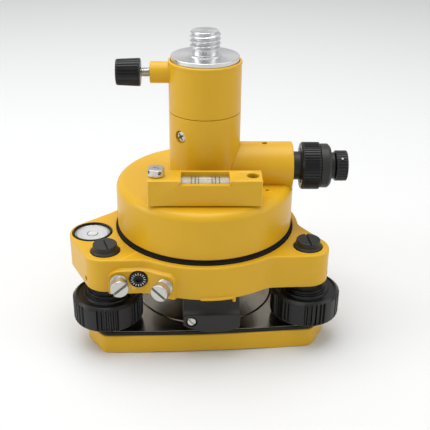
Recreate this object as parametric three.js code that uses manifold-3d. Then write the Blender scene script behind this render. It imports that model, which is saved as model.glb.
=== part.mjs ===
// Optical-plummet carrier standing on a three-screw levelling base (tribrach).
// Millimetres, +Z up. The origin is on the vertical axis, on the plane the base plate stands on.
// The carrier is square to X and Y (its eyepiece points along +X); the levelling base is turned a
// little about Z below it, as the carrier can turn freely on its pivot.
import * as THREE from 'three';
import { mergeVertices } from 'three/addons/utils/BufferGeometryUtils.js';
import Module from 'manifold-3d';

const wasm = await Module();
wasm.setup();

// ---------------------------------------------------------------- driving dimensions

const GAP = 0.3; // clearance kept between pieces that touch
const DEGREE = Math.PI / 180;
const COARSE = 10; // segments round small, medium and large circles
const MEDIUM = 18;
const FINE = 36;

// Levelling base, in its own frame: its front side faces -Y
const BASE_TURN = 2.45 * DEGREE;
const SCREW_CIRCLE = 62.4; // distance of the foot-screw axes from the centre
const SCREW_PLACES = { left: 210, right: 330, rear: 90 };
const BASE_SIDE = 46.2; // distance from the centre to a side of the base plate
const BASE_BOW = 1.8;
const BASE_CORNER = 72;
const BASE_PAD = 50; // beyond this distance the underside rests on three corner pads
const BASE_TOP = 11;
const PLATE_BOTTOM = 12.2; // spring plate
const PLATE_TOP = 13.3;
const FLANGE_RADIUS = 38.4; // polished flange of the tripod bush
const BUSH_HOLE = 7.4; // hole of the 5/8 inch tripod thread
const KNOB_RADIUS = 18.8;
const KNOB_BOTTOM = 16.5;
const KNOB_TOP = 31;
const SPINDLE_RADIUS = 4;
const HOUSING_BOTTOM = 37.3;
const HOUSING_TOP = 56.2;
const HOUSING_RADIUS = 53;
const BOSS_RADIUS = 11.4; // corner bosses round the foot screws
const SEAT_RADIUS = 50.8; // recess that takes the foot plate
const SEAT_FLOOR = 49.7;
const CLAMP_RECESS = 45.9;
const CLAMP_CEILING = 45.2;
const LEVEL_PLACE = [-62.4, -9.9]; // circular level
const LEVEL_RADIUS = 10.7;
const FOOT_CIRCLE = 39; // three feet of the foot plate
const FOOT_RADIUS = 4.4;
const FOOT_PLACES = { front: 270, right: 30, left: 150 };
const LEVER_TURN = 20; // degrees from locked to open
const LEVER_LEFT = -13.6;
const LEVER_RIGHT = 16.3;
const LEVER_FRONT = 53.8;
const LEVER_BACK = 36;
const LEVER_TOP = 28.2;
const LEVER_BOTTOM = 17.5;
const PAD_PROUD = 2.2; // raised pad on the front of the housing
const PAD_TOP = 51.7;
const PAD_AXIS = 45.4; // height of the screws on it

// Carrier
const DRUM_RADIUS = 48.6;
const DRUM_BOTTOM = 58.6;
const DRUM_TOP = 84;
const DRUM_ROUND = 4.6;
const PIVOT_RADIUS = 11.7;
const SIGHT_RADIUS = 8;
const TUBE_HEIGHT = 90.6; // axis of the plummet telescope
const TUBE_RADIUS = 13.2;
const TUBE_END = 47.6;
const TUBE_BORE = 9.5;
const COLUMN_RADIUS = 19;
const COLUMN_SEAM = 122.9;
const COLUMN_TOP = 149.8;
const SPIGOT_RADIUS = 16.1;
const CLAMP_HEIGHT = 142.8;
const DISC_RADIUS = 17.7;
const DISC_TOP = 152;
const STUD_RADIUS = 7.94; // 5/8 inch thread
const STUD_TOP = 164.6;
const BLOCK_BOTTOM = 84.6; // plate-level block
const BLOCK_TOP = 98.8;
const BLOCK_AXIS = [-32.3, 92.7]; // y and z of the vial
const VIAL_RADIUS = 5.2;
const COLUMN_SCREW_HEIGHT = 112.2;
const COLUMN_SCREWS = { front: 227, right: 47, rear: 137 };

// ---------------------------------------------------------------- materials

const finish = (color, roughness, metalness) =>
  new THREE.MeshStandardMaterial({ color, roughness, metalness });
const yellowPaint = () => finish(0xcda037, 0.45, 0);
const blackPlastic = () => finish(0x2a2b2c, 0.5, 0);
const blackMetal = () => finish(0x1c1c1d, 0.4, 0.6);
const polishedSteel = () => finish(0xc9c7c2, 0.25, 1);
const aluminium = () => finish(0xd2d1cf, 0.35, 1);
const brass = () => finish(0xb8964a, 0.35, 1);
const glass = () => finish(0xdfe9e6, 0.05, 0);
const whiteEnamel = () => finish(0xf0efe9, 0.4, 0);

// ---------------------------------------------------------------- solids

// A closed geometry as a solid with merged vertices and outward faces.
function toSolid(geometry) {
  const bare = new THREE.BufferGeometry();
  bare.setAttribute('position', geometry.getAttribute('position'));
  if (geometry.index) bare.setIndex(geometry.index);
  const merged = mergeVertices(bare, 1e-4);
  const spots = merged.getAttribute('position').array;
  const kept = [];
  for (let i = 0; i < merged.index.count; i += 3) {
    const [a, b, c] = [0, 1, 2].map((k) => merged.index.getX(i + k));
    if (a !== b && b !== c && c !== a) kept.push(a, b, c);
  }
  if (volume(spots, kept) < 0) kept.reverse();
  const vertProperties = Float32Array.from(spots);
  const triVerts = Uint32Array.from(kept);
  return new wasm.Manifold(new wasm.Mesh({ numProp: 3, vertProperties, triVerts }));
}

function volume(spots, triangles) {
  const corner = (i) => new THREE.Vector3().fromArray(spots, 3 * triangles[i]);
  let sum = 0;
  for (let i = 0; i < triangles.length; i += 3) {
    sum += corner(i).dot(corner(i + 1).cross(corner(i + 2))) / 6;
  }
  return sum;
}

function toGeometry(solid) {
  const mesh = solid.getMesh();
  const geometry = new THREE.BufferGeometry();
  geometry.setAttribute('position', new THREE.BufferAttribute(mesh.vertProperties, 3));
  geometry.setIndex(new THREE.BufferAttribute(mesh.triVerts, 1));
  return geometry;
}

function join(first, ...others) {
  return toGeometry(others.reduce((sum, next) => sum.add(toSolid(next)), toSolid(first)));
}

function cut(first, ...tools) {
  return toGeometry(tools.reduce((rest, tool) => rest.subtract(toSolid(tool)), toSolid(first)));
}

function common(first, second) {
  return toGeometry(toSolid(first).intersect(toSolid(second)));
}

// Turned about Z from [radius, height] points, listed up the outside and down the inside.
function lathe(points, segments = FINE) {
  const profile = points.map(([radius, height]) => new THREE.Vector2(radius, height));
  return new THREE.LatheGeometry([...profile, profile[0]], segments).rotateX(Math.PI / 2);
}

function rod(radius, from, to, segments = MEDIUM) {
  const points = [[0, from], [radius, from], [radius, to], [0, to]];
  const profile = points.map(([r, z]) => new THREE.Vector2(r, z));
  return new THREE.LatheGeometry(profile, segments).rotateX(Math.PI / 2);
}

function turned(points, segments = MEDIUM) {
  const profile = points.map(([r, z]) => new THREE.Vector2(r, z));
  return new THREE.LatheGeometry(profile, segments).rotateX(Math.PI / 2);
}

function ring(inner, outer, from, to, segments = FINE) {
  return lathe([[inner, from], [outer, from], [outer, to], [inner, to]], segments);
}

function slab(shape, from, to, curveSegments = 4) {
  const depth = to - from;
  const options = { depth, bevelEnabled: false, curveSegments };
  return new THREE.ExtrudeGeometry(shape, options).translate(0, 0, from);
}

function box(x0, x1, y0, y1, z0, z1) {
  const geometry = new THREE.BoxGeometry(x1 - x0, y1 - y0, z1 - z0);
  return geometry.translate((x0 + x1) / 2, (y0 + y1) / 2, (z0 + z1) / 2);
}

const alongX = (geometry) => geometry.rotateY(Math.PI / 2);
const onTube = (geometry) => alongX(geometry).translate(0, 0, TUBE_HEIGHT);
const onClamp = (geometry) => geometry.rotateY(-Math.PI / 2).translate(0, 0, CLAMP_HEIGHT);

// A solid that lies along +X, turned to point outwards at an angle in degrees.
const radially = (geometry, angle, height) =>
  alongX(geometry).rotateZ(angle * DEGREE).translate(0, 0, height);

const around = (radius, angle) =>
  [radius * Math.cos(angle * DEGREE), radius * Math.sin(angle * DEGREE)];

// ---------------------------------------------------------------- outlines

// The band pulled tight round circles [x, y, radius] that are listed anticlockwise.
function bandRound(circles) {
  const shape = new THREE.Shape();
  const leaving = circles.map(([x, y, r], i) => {
    const [nextX, nextY, nextR] = circles[(i + 1) % circles.length];
    const heading = Math.atan2(nextY - y, nextX - x);
    return heading - Math.acos((r - nextR) / Math.hypot(nextX - x, nextY - y));
  });
  circles.forEach(([x, y, r], i) => {
    const arriving = leaving[(i + circles.length - 1) % circles.length];
    shape.absarc(x, y, r, arriving, leaving[i], false);
  });
  shape.closePath();
  return shape;
}

// A piece of a ring between two angles in degrees.
function sector(inner, outer, from, to) {
  const shape = new THREE.Shape();
  shape.absarc(0, 0, outer, from * DEGREE, to * DEGREE, false);
  shape.absarc(0, 0, inner, to * DEGREE, from * DEGREE, true);
  shape.closePath();
  return shape;
}

// A triangle with slightly bowed sides and cut, rounded corners. The distances are from the
// centre to the middle of a side and to a corner.
function baseOutline(side, corner, rounding) {
  const shape = new THREE.Shape();
  const end = side - BASE_BOW;
  const half = (end - corner / 2) / Math.cos(30 * DEGREE);
  const from = (point, reach, angle) => {
    const [dx, dy] = around(reach, angle);
    return [point[0] + dx, point[1] + dy];
  };
  const corners = Object.values(SCREW_PLACES).map((place) => {
    const first = from(around(corner, place), half, place - 90);
    const second = from(around(corner, place), half, place + 90);
    const start = from(first, -rounding, place + 30);
    return { place, first, second, start };
  });
  shape.moveTo(...corners[0].start);
  corners.forEach(({ place, first, second }, i) => {
    const next = corners[(i + 1) % corners.length];
    shape.quadraticCurveTo(...first, ...from(first, rounding, place + 90));
    shape.lineTo(...from(second, -rounding, place + 90));
    shape.quadraticCurveTo(...second, ...from(second, rounding, place + 150));
    shape.quadraticCurveTo(...around(end + 2 * BASE_BOW, place + 60), ...next.start);
  });
  return shape;
}

// A knob seen along its axis: groups of ribs parted by smooth lobes.
function knobOutline(radius, depth, groups, ribs, share) {
  const shape = new THREE.Shape();
  const step = 360 / groups;
  const pitch = (step * share) / ribs;
  const points = [];
  for (let group = 0; group < groups; group += 1) {
    const start = group * step - (step * share) / 2;
    for (let rib = 0; rib < ribs; rib += 1) {
      const at = start + rib * pitch;
      points.push(around(radius, at), around(radius - depth, at + pitch * 0.25));
      points.push(around(radius - depth, at + pitch * 0.6), around(radius, at + pitch * 0.85));
    }
    points.push(around(radius, group * step + step * 0.5));
  }
  shape.setFromPoints(points.map(([x, y]) => new THREE.Vector2(x, y)));
  return shape;
}

// ---------------------------------------------------------------- pieces by group

const model = new THREE.Group();
const tribrach = new THREE.Group();
tribrach.rotation.z = BASE_TURN;
const carrier = new THREE.Group();
model.add(tribrach, carrier);

function add(group, name, geometry, material) {
  const mesh = new THREE.Mesh(toGeometry(toSolid(geometry)), material);
  mesh.name = name;
  group.add(mesh);
  return mesh;
}

function basePlate() {
  const outline = baseOutline(BASE_SIDE, BASE_CORNER, 5);
  const underside = new THREE.Shape();
  const tips = [30, 150, 270].map((angle) => around(2 * BASE_PAD, angle));
  underside.setFromPoints(tips.map(([x, y]) => new THREE.Vector2(x, y)));
  const pockets = Object.values(SCREW_PLACES).map((place) => {
    const [x, y] = around(SCREW_CIRCLE, place);
    return rod(7.8, 1.8, BASE_TOP + 1).translate(x, y, 0);
  });
  const plate = slab(outline, 0, BASE_TOP);
  return cut(plate, slab(underside, -1, 0.8), rod(14.3, -1, BASE_TOP + 1), ...pockets);
}

function springPlate() {
  const outline = baseOutline(BASE_SIDE - 1, BASE_CORNER - 1, 4);
  const holes = Object.values(SCREW_PLACES).map((place) => {
    const [x, y] = around(SCREW_CIRCLE, place);
    return rod(4.4, 0, KNOB_BOTTOM).translate(x, y, 0);
  });
  const middle = rod(FLANGE_RADIUS + 0.5, 0, KNOB_BOTTOM, FINE);
  return cut(slab(outline, PLATE_BOTTOM, PLATE_TOP), middle, ...holes);
}

function gasket() {
  const outline = baseOutline(BASE_SIDE - 0.5, BASE_CORNER - 0.5, 4.5);
  const holes = Object.values(SCREW_PLACES).map((place) => {
    const [x, y] = around(SCREW_CIRCLE, place);
    return rod(7, 0, KNOB_BOTTOM).translate(x, y, 0);
  });
  const sheet = slab(outline, BASE_TOP + GAP, PLATE_BOTTOM - GAP);
  return cut(sheet, rod(14.3, 0, KNOB_BOTTOM), ...holes);
}

function tripodBush() {
  return lathe([
    [BUSH_HOLE, 1.2],
    [14, 1.2],
    [14, PLATE_BOTTOM],
    [FLANGE_RADIUS, PLATE_BOTTOM],
    [FLANGE_RADIUS, PLATE_TOP + 0.2],
    [BUSH_HOLE, PLATE_TOP + 0.2],
  ]);
}

function addBase() {
  add(tribrach, 'base_plate', basePlate(), yellowPaint());
  add(tribrach, 'base_gasket', gasket(), blackPlastic());
  add(tribrach, 'spring_plate', springPlate(), polishedSteel());
  add(tribrach, 'tripod_bush', tripodBush(), polishedSteel());
}

// A foot screw stands in a ball cup in the base and is threaded into a bush in the housing.
function addFootScrew(side, place) {
  const [x, y] = around(SCREW_CIRCLE, place);
  const cup = turned([[0, 2.1], [7.5, 2.1], [7.5, 6], [5.9, 6], [3, 3], [0, 2.6]]);
  const ball = new THREE.SphereGeometry(5, COARSE, 10).rotateX(Math.PI / 2).translate(0, 0, 8.1);
  const spindle = join(ball, rod(3.6, 9, 17, COARSE), rod(SPINDLE_RADIUS, 17, 51, COARSE));
  const outline = knobOutline(KNOB_RADIUS, 0.9, 6, 4, 0.6);
  const neck = turned([
    [0, KNOB_TOP - 1],
    [12, KNOB_TOP - 1],
    [12, KNOB_TOP + 0.8],
    [10.4, KNOB_TOP + 0.8],
    [10.4, KNOB_TOP + 2.6],
    [9, KNOB_TOP + 2.6],
    [9, KNOB_TOP + 7.5],
    [0, KNOB_TOP + 7.5],
  ]);
  const grip = join(slab(outline, KNOB_BOTTOM, KNOB_TOP), neck);
  const knob = cut(grip, rod(SPINDLE_RADIUS + GAP, 0, HOUSING_TOP, COARSE));
  const bush = ring(SPINDLE_RADIUS + 0.7, 7.6, 42.6, 54.5, MEDIUM);
  const slot = box(-7, 7, -0.5, 0.5, 59.4, 61);
  const cap = turned([
    [0, 54.8],
    [7.6, 54.8],
    [7.6, HOUSING_TOP + 1],
    [6.4, 59],
    [5.8, 60.3],
    [0, 60.3],
  ]);
  const grub = radially(rod(1, 8.3, 10.8, COARSE), setScrewAngle(side), 42);
  const pieces = [
    [`ball_cup_${side}`, cup, brass()],
    [`foot_spindle_${side}`, spindle, polishedSteel()],
    [`foot_knob_${side}`, knob, blackPlastic()],
    [`screw_bush_${side}`, bush, brass()],
    [`screw_cap_${side}`, cut(cap, slot), blackPlastic()],
    [`bush_set_screw_${side}`, grub, blackMetal()],
  ];
  for (const [name, geometry, material] of pieces) {
    add(tribrach, name, geometry.translate(x, y, 0), material);
  }
}

// Each bush is held by a grub screw that is reached from the outer side of its boss.
function setScrewAngle(side) {
  return { left: 197, right: 347, rear: 90 }[side];
}

function housingBody() {
  const bosses = [210, 330, 90].map((place) => [...around(SCREW_CIRCLE, place), BOSS_RADIUS]);
  const [leftX, leftY] = around(SCREW_CIRCLE, SCREW_PLACES.left);
  const wing = bandRound([[leftX, leftY, BOSS_RADIUS], [-38, 20, 5.1], [...LEVEL_PLACE, 12.4]]);
  const centre = rod(HOUSING_RADIUS, HOUSING_BOTTOM, HOUSING_TOP, FINE * 2);
  const arms = slab(bandRound(bosses), HOUSING_BOTTOM, HOUSING_TOP);
  const levelArm = slab(wing, HOUSING_BOTTOM, HOUSING_TOP);
  return join(centre, arms, levelArm, housingPad(), leverLedge());
}

// The raised pad follows the housing wall from its flat left part round the front curve.
function housingPad() {
  const flat = BOSS_RADIUS + SCREW_CIRCLE / 2 + PAD_PROUD;
  const curve = rod(HOUSING_RADIUS + PAD_PROUD, HOUSING_BOTTOM, PAD_TOP, FINE * 2);
  const straight = box(-52.5, -20, -flat, -30, HOUSING_BOTTOM, PAD_TOP);
  const sweep = slab(sector(30, 70, 222, 253), HOUSING_BOTTOM - 1, PAD_TOP + 1);
  return join(straight, common(curve, sweep));
}

// A short ledge along the foot of the front wall, above the lever.
function leverLedge() {
  const sweep = slab(sector(45, HOUSING_RADIUS + 1.1, 265, 284), HOUSING_BOTTOM, 38.7);
  return sweep;
}

function housing() {
  const holes = Object.entries(SCREW_PLACES).flatMap(([side, place]) => {
    const [x, y] = around(SCREW_CIRCLE, place);
    const bore = rod(7.9, 30, 70);
    const mouth = rod(10, 30, 42);
    const grub = radially(rod(1.3, 7, 14, COARSE), setScrewAngle(side), 42);
    return [bore, mouth, grub].map((hole) => hole.translate(x, y, 0));
  });
  const feet = Object.values(FOOT_PLACES).map((place) => {
    const [x, y] = around(FOOT_CIRCLE, place);
    return rod(FOOT_RADIUS + 0.6, 40, 52, MEDIUM).translate(x, y, 0);
  });
  const leverSlot = slab(sector(44, 50.9, 270 - 10, 270 + 10 + LEVER_TURN), 30, CLAMP_CEILING);
  const levelPocket = rod(LEVEL_RADIUS + GAP, 47.8, 60).translate(...LEVEL_PLACE, 0);
  return cut(
    housingBody(),
    rod(SEAT_RADIUS, SEAT_FLOOR, 60, FINE),
    rod(CLAMP_RECESS, 30, CLAMP_CEILING, FINE),
    rod(31, 30, 60, FINE),
    leverSlot,
    levelPocket,
    ...holes,
    ...feet,
    ...padScrewHoles(),
  );
}

// Two slotted screws and a socket screw stand on the pad.
const PAD_SCREWS = {
  left: { x: -46.9, y: -45.4, angle: 277, reach: 8.5 },
  right: { x: -22.6, y: -50.1, angle: 244.8, reach: 8.4 },
};
const SOCKET_SCREW = { x: -36.6, y: -44.8, z: 46.2, angle: 270 };

const placed = (geometry, { x, y, z = PAD_AXIS, angle }) =>
  alongX(geometry).rotateZ(angle * DEGREE).translate(x, y, z);

function padScrewHoles() {
  const holes = Object.values(PAD_SCREWS).map((at) => placed(rod(2.3, -4.6, 3, COARSE), at));
  const socketRecess = placed(rod(4.8, -1.4, 6), SOCKET_SCREW);
  const socketHole = placed(rod(2.3, -4, 3, COARSE), SOCKET_SCREW);
  return [...holes, socketRecess, socketHole];
}

function padScrew(reach) {
  const screw = turned([
    [0, -4.2],
    [2, -4.2],
    [2, GAP],
    [4.7, GAP],
    [4.7, reach - 0.6],
    [4.1, reach],
    [0, reach],
  ]);
  return cut(screw, box(-6, 6, -0.55, 0.55, reach - 1.6, reach + 1).rotateZ(55 * DEGREE));
}

function socketScrew() {
  const head = slab(knobOutline(4.5, 0.5, 4, 4, 0.94), -1.1, 1.2);
  const hexagon = new THREE.CylinderGeometry(2.1, 2.1, 4, 6).rotateX(Math.PI / 2);
  return cut(join(head, rod(2, -3.7, -1, COARSE)), hexagon.translate(0, 0, 1.6));
}

function addHead() {
  add(tribrach, 'housing', housing(), yellowPaint());
  add(tribrach, 'bottom_cover', ring(31, 45.5, HOUSING_BOTTOM + 0.1, 38.3), blackMetal());
  const [x, y] = LEVEL_PLACE;
  const floor = 48.1;
  const bezel = ring(8.7, LEVEL_RADIUS, floor, HOUSING_TOP + 0.4, MEDIUM);
  const cup = turned([[0, floor], [8.4, floor], [8.4, 54], [0, 54]]);
  const lens = turned([[0, 54.3], [8.4, 54.3], [8.4, 55.2], [4.5, 55.7], [0, 55.8]]);
  add(tribrach, 'level_bezel', bezel.translate(x, y, 0), blackMetal());
  add(tribrach, 'level_cup', cup.translate(x, y, 0), whiteEnamel());
  add(tribrach, 'level_glass', lens.translate(x, y, 0), glass());
  for (const [side, at] of Object.entries(PAD_SCREWS)) {
    add(tribrach, `pad_screw_${side}`, placed(padScrew(at.reach), at), polishedSteel());
  }
  add(tribrach, 'pad_socket_screw', placed(socketScrew(), SOCKET_SCREW), blackMetal());
}

const [LOCK_X, LOCK_Z] = [-9.3, 24.5];

// Front view of the lever block: flat on top, its lower edge bellied and cut up to the left.
function leverFace() {
  const face = new THREE.Shape();
  face.moveTo(LEVER_LEFT, LEVER_TOP);
  face.lineTo(LEVER_LEFT, 22.4);
  face.quadraticCurveTo(-6, LEVER_BOTTOM - 0.3, 3.5, LEVER_BOTTOM);
  face.quadraticCurveTo(11, LEVER_BOTTOM, LEVER_RIGHT, 20.2);
  face.lineTo(LEVER_RIGHT, LEVER_TOP);
  face.closePath();
  return face;
}

// The lever block reaches back under the housing; an arm on it turns the clamp ring inside.
function leverBlock() {
  const arm = slab(sector(46.3, 50.4, 262, 278), LEVER_TOP - 1, CLAMP_CEILING - GAP);
  const block = slab(leverFace(), LEVER_BACK, LEVER_FRONT, 8).rotateX(Math.PI / 2);
  const recess = rod(3, 0, 2.2, MEDIUM).rotateX(Math.PI / 2);
  const hole = rod(1.4, 0, 14, COARSE).rotateX(Math.PI / 2);
  return cut(
    join(block, arm),
    recess.translate(LOCK_X, 1.9 - LEVER_FRONT, LOCK_Z),
    hole.translate(LOCK_X, 8.4 - LEVER_FRONT, LOCK_Z),
  );
}

function leverScrew() {
  const screw = turned([[0, 0], [1.1, 0], [1.1, 6.6], [2.4, 6.6], [2.4, 8.2], [0, 8.2]], 16);
  const slotted = cut(screw, box(-3, 3, -0.35, 0.35, 7.5, 9).rotateZ(-40 * DEGREE));
  return slotted.rotateX(Math.PI / 2).translate(LOCK_X, 8.2 - LEVER_FRONT, LOCK_Z);
}

function clampRing() {
  const spread = 7.8;
  const slots = Object.values(FOOT_PLACES).map((place) =>
    slab(sector(34.3, 43.7, place - LEVER_TURN - spread, place + spread), 30, 50));
  return cut(ring(31.5, CLAMP_RECESS - 0.4, 38.6, CLAMP_CEILING - GAP), ...slots);
}

function addLever() {
  add(tribrach, 'lock_lever', leverBlock(), blackPlastic());
  add(tribrach, 'clamp_ring', clampRing(), polishedSteel());
  add(tribrach, 'lever_screw', leverScrew(), polishedSteel());
}

// The foot plate drops into the housing; its feet reach down through the clamp ring.
function addFootPlate() {
  const plate = ring(PIVOT_RADIUS + GAP, 49.9, 50, DRUM_BOTTOM - 0.4, FINE);
  add(tribrach, 'foot_plate', plate, blackMetal());
  const pivot = ring(SIGHT_RADIUS, PIVOT_RADIUS, 50.2, 72.2, MEDIUM);
  add(tribrach, 'pivot_bush', pivot, brass());
  for (const [side, place] of Object.entries(FOOT_PLACES)) {
    const [x, y] = around(FOOT_CIRCLE, place);
    const foot = turned([
      [0, 39.6],
      [3.6, 39.6],
      [FOOT_RADIUS, 40.4],
      [FOOT_RADIUS, 42],
      [3.4, 42.6],
      [3.4, 44],
      [FOOT_RADIUS, 44.6],
      [FOOT_RADIUS, 49.7],
      [0, 49.7],
    ], 16);
    add(tribrach, `plate_foot_${side}`, foot.translate(x, y, 0), polishedSteel());
  }
}

// ---------------------------------------------------------------- carrier

function drum() {
  const arc = [0, 30, 60, 90].map((angle) => {
    const [dx, dz] = around(DRUM_ROUND, angle);
    return [DRUM_RADIUS - DRUM_ROUND + dx, DRUM_TOP - DRUM_ROUND + dz];
  });
  const body = lathe([
    [PIVOT_RADIUS + 0.4, DRUM_BOTTOM],
    [22, DRUM_BOTTOM],
    [22, 79],
    [44.6, 79],
    [44.6, DRUM_BOTTOM],
    [DRUM_RADIUS, DRUM_BOTTOM],
    ...arc,
    [PIVOT_RADIUS + 0.4, DRUM_TOP],
  ]);
  const spigot = rod(SPIGOT_RADIUS, 72.6, 117.5, FINE);
  const tube = onTube(turned([
    [0, 0],
    [TUBE_RADIUS, 0],
    [TUBE_RADIUS, TUBE_END - 0.8],
    [TUBE_RADIUS - 0.8, TUBE_END],
    [0, TUBE_END],
  ], FINE));
  const screwHoles = Object.values(COLUMN_SCREWS).map((angle) =>
    radially(rod(1.8, 12.5, 20, COARSE), angle, COLUMN_SCREW_HEIGHT));
  return cut(
    join(body, spigot, tube),
    rod(9, 60, TUBE_HEIGHT, MEDIUM),
    onTube(rod(TUBE_BORE, -9, TUBE_END + 1, MEDIUM)),
    ...screwHoles,
  );
}

function lowerColumn() {
  const sleeve = ring(SPIGOT_RADIUS + 0.4, COLUMN_RADIUS, DRUM_TOP + 0.4, COLUMN_SEAM - 0.15);
  const saddle = onTube(rod(TUBE_RADIUS + 0.4, 8, 30, FINE));
  const screwHoles = Object.values(COLUMN_SCREWS).flatMap((angle) => [
    radially(rod(1.8, 12, 24, COARSE), angle, COLUMN_SCREW_HEIGHT),
    radially(rod(3.5, 17.2, 24, MEDIUM), angle, COLUMN_SCREW_HEIGHT),
  ]);
  return cut(sleeve, saddle, ...screwHoles);
}

function upperColumn() {
  const body = turned([
    [0, 119],
    [SPIGOT_RADIUS, 119],
    [SPIGOT_RADIUS, COLUMN_SEAM + 0.15],
    [COLUMN_RADIUS, COLUMN_SEAM + 0.15],
    [COLUMN_RADIUS, 148],
    [COLUMN_RADIUS + 0.3, 148.6],
    [COLUMN_RADIUS, 149.4],
    [COLUMN_RADIUS - 0.5, COLUMN_TOP],
    [0, COLUMN_TOP],
  ], FINE);
  const boss = onClamp(rod(5.6, 15, 28.5, MEDIUM));
  return cut(
    join(body, boss),
    rod(DISC_RADIUS + GAP, 146.3, 160, FINE),
    rod(11.3, 125.5, 160, FINE),
    onClamp(rod(2.9, 5, 40, COARSE)),
  );
}

// Turning spindle: a disc that shows in the column's rim, a neck and the 5/8 inch stud.
function stud() {
  const body = turned([
    [0, 126],
    [11, 126],
    [11, 146.6],
    [DISC_RADIUS, 146.6],
    [DISC_RADIUS, DISC_TOP - 0.4],
    [DISC_RADIUS - 0.4, DISC_TOP],
    [8.4, DISC_TOP],
    [8.4, DISC_TOP + 0.6],
    [6.6, DISC_TOP + 0.9],
    [6.6, 156],
    [STUD_RADIUS, 156.4],
    [STUD_RADIUS, STUD_TOP - 1],
    [7, STUD_TOP],
    [0, STUD_TOP],
  ], FINE);
  const crossHole = rod(1.2, -10, 10, COARSE).rotateX(Math.PI / 2).translate(0, 0, 154.2);
  return cut(body, crossHole);
}

function clampKnob() {
  const outer = 46;
  const inner = 33.3;
  const flutes = slab(knobOutline(7.3, 0.4, 12, 2, 0.96), inner, outer);
  const taper = turned([[0, inner], [7.3, inner], [6.7, outer - 1], [5.8, outer], [0, outer]]);
  return onClamp(cut(common(flutes, taper), rod(2.5 + GAP, inner - 1, outer - 3, COARSE)));
}

function levelBlock() {
  const [axisY, axisZ] = BLOCK_AXIS;
  const block = box(-29.3, 28.9, axisY - 7, axisY + 7, BLOCK_BOTTOM, BLOCK_TOP);
  const bore = alongX(rod(VIAL_RADIUS + GAP, -19.9, 19.9, MEDIUM)).translate(0, axisY, axisZ);
  const window = box(-12.3, 12.3, axisY - 8, axisY + 4.3, 96.1, BLOCK_TOP + 1);
  const left = rod(2.2, BLOCK_BOTTOM - 1, BLOCK_TOP + 1, COARSE).translate(-24.8, axisY, 0);
  const right = rod(1.9, BLOCK_BOTTOM - 1, BLOCK_TOP + 1, COARSE).translate(24.2, axisY, 0);
  const sink = rod(3.2, 94, BLOCK_TOP + 1, MEDIUM).translate(24.2, axisY, 0);
  return cut(block, bore, window, left, right, sink);
}

// Capstan-headed adjusting screw of the plate level: a slot on top, pin holes round its side.
function capstanScrew() {
  const [axisY] = BLOCK_AXIS;
  const screw = turned([
    [0, BLOCK_BOTTOM + 0.6],
    [1.9, BLOCK_BOTTOM + 0.6],
    [1.9, BLOCK_TOP + GAP],
    [4.2, BLOCK_TOP + GAP],
    [4.2, 102.4],
    [3.6, 103],
    [0, 103],
  ]);
  const pinHoles = [0, 90].map((angle) => radially(rod(0.9, -6, 6, 8), angle + 40, 101.3));
  return cut(screw, ...pinHoles).translate(-24.8, axisY, 0);
}

function addLevel() {
  const [axisY, axisZ] = BLOCK_AXIS;
  const round = VIAL_RADIUS - 0.6;
  const ends = [[VIAL_RADIUS, 18], [round, 19.5], [0, 19.5]];
  const vial = alongX(turned([[0, -19.5], [round, -19.5], [VIAL_RADIUS, -18], ...ends]));
  const bottom = BLOCK_BOTTOM + 0.6;
  const pivot = turned([[0, bottom], [1.5, bottom], [1.5, 94.3], [2.9, 94.3], [2.9, 96], [0, 96]], 16);
  add(carrier, 'level_block', levelBlock(), yellowPaint());
  add(carrier, 'level_vial', vial.translate(0, axisY, axisZ), glass());
  add(carrier, 'capstan_screw', capstanScrew(), aluminium());
  add(carrier, 'level_pivot_screw', pivot.translate(24.2, axisY, 0), polishedSteel());
}

function addColumn() {
  add(carrier, 'drum', drum(), yellowPaint());
  add(carrier, 'lower_column', lowerColumn(), yellowPaint());
  add(carrier, 'upper_column', upperColumn(), yellowPaint());
  add(carrier, 'stud', stud(), aluminium());
  for (const [side, angle] of Object.entries(COLUMN_SCREWS)) {
    const screw = turned([[0, 13], [1.5, 13], [1.5, 17.5], [3, 17.5], [3, 18.8], [0, 18.8]], 16);
    add(carrier, `column_screw_${side}`, radially(screw, angle, COLUMN_SCREW_HEIGHT), polishedSteel());
  }
  const thread = rod(2.5, 14.9, 42.4, COARSE);
  add(carrier, 'clamp_screw', onClamp(thread), polishedSteel());
  add(carrier, 'clamp_shoe', onClamp(rod(2.5, 11.4, 14.6, COARSE)), brass());
  add(carrier, 'clamp_knob', clampKnob(), blackPlastic());
}

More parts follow.
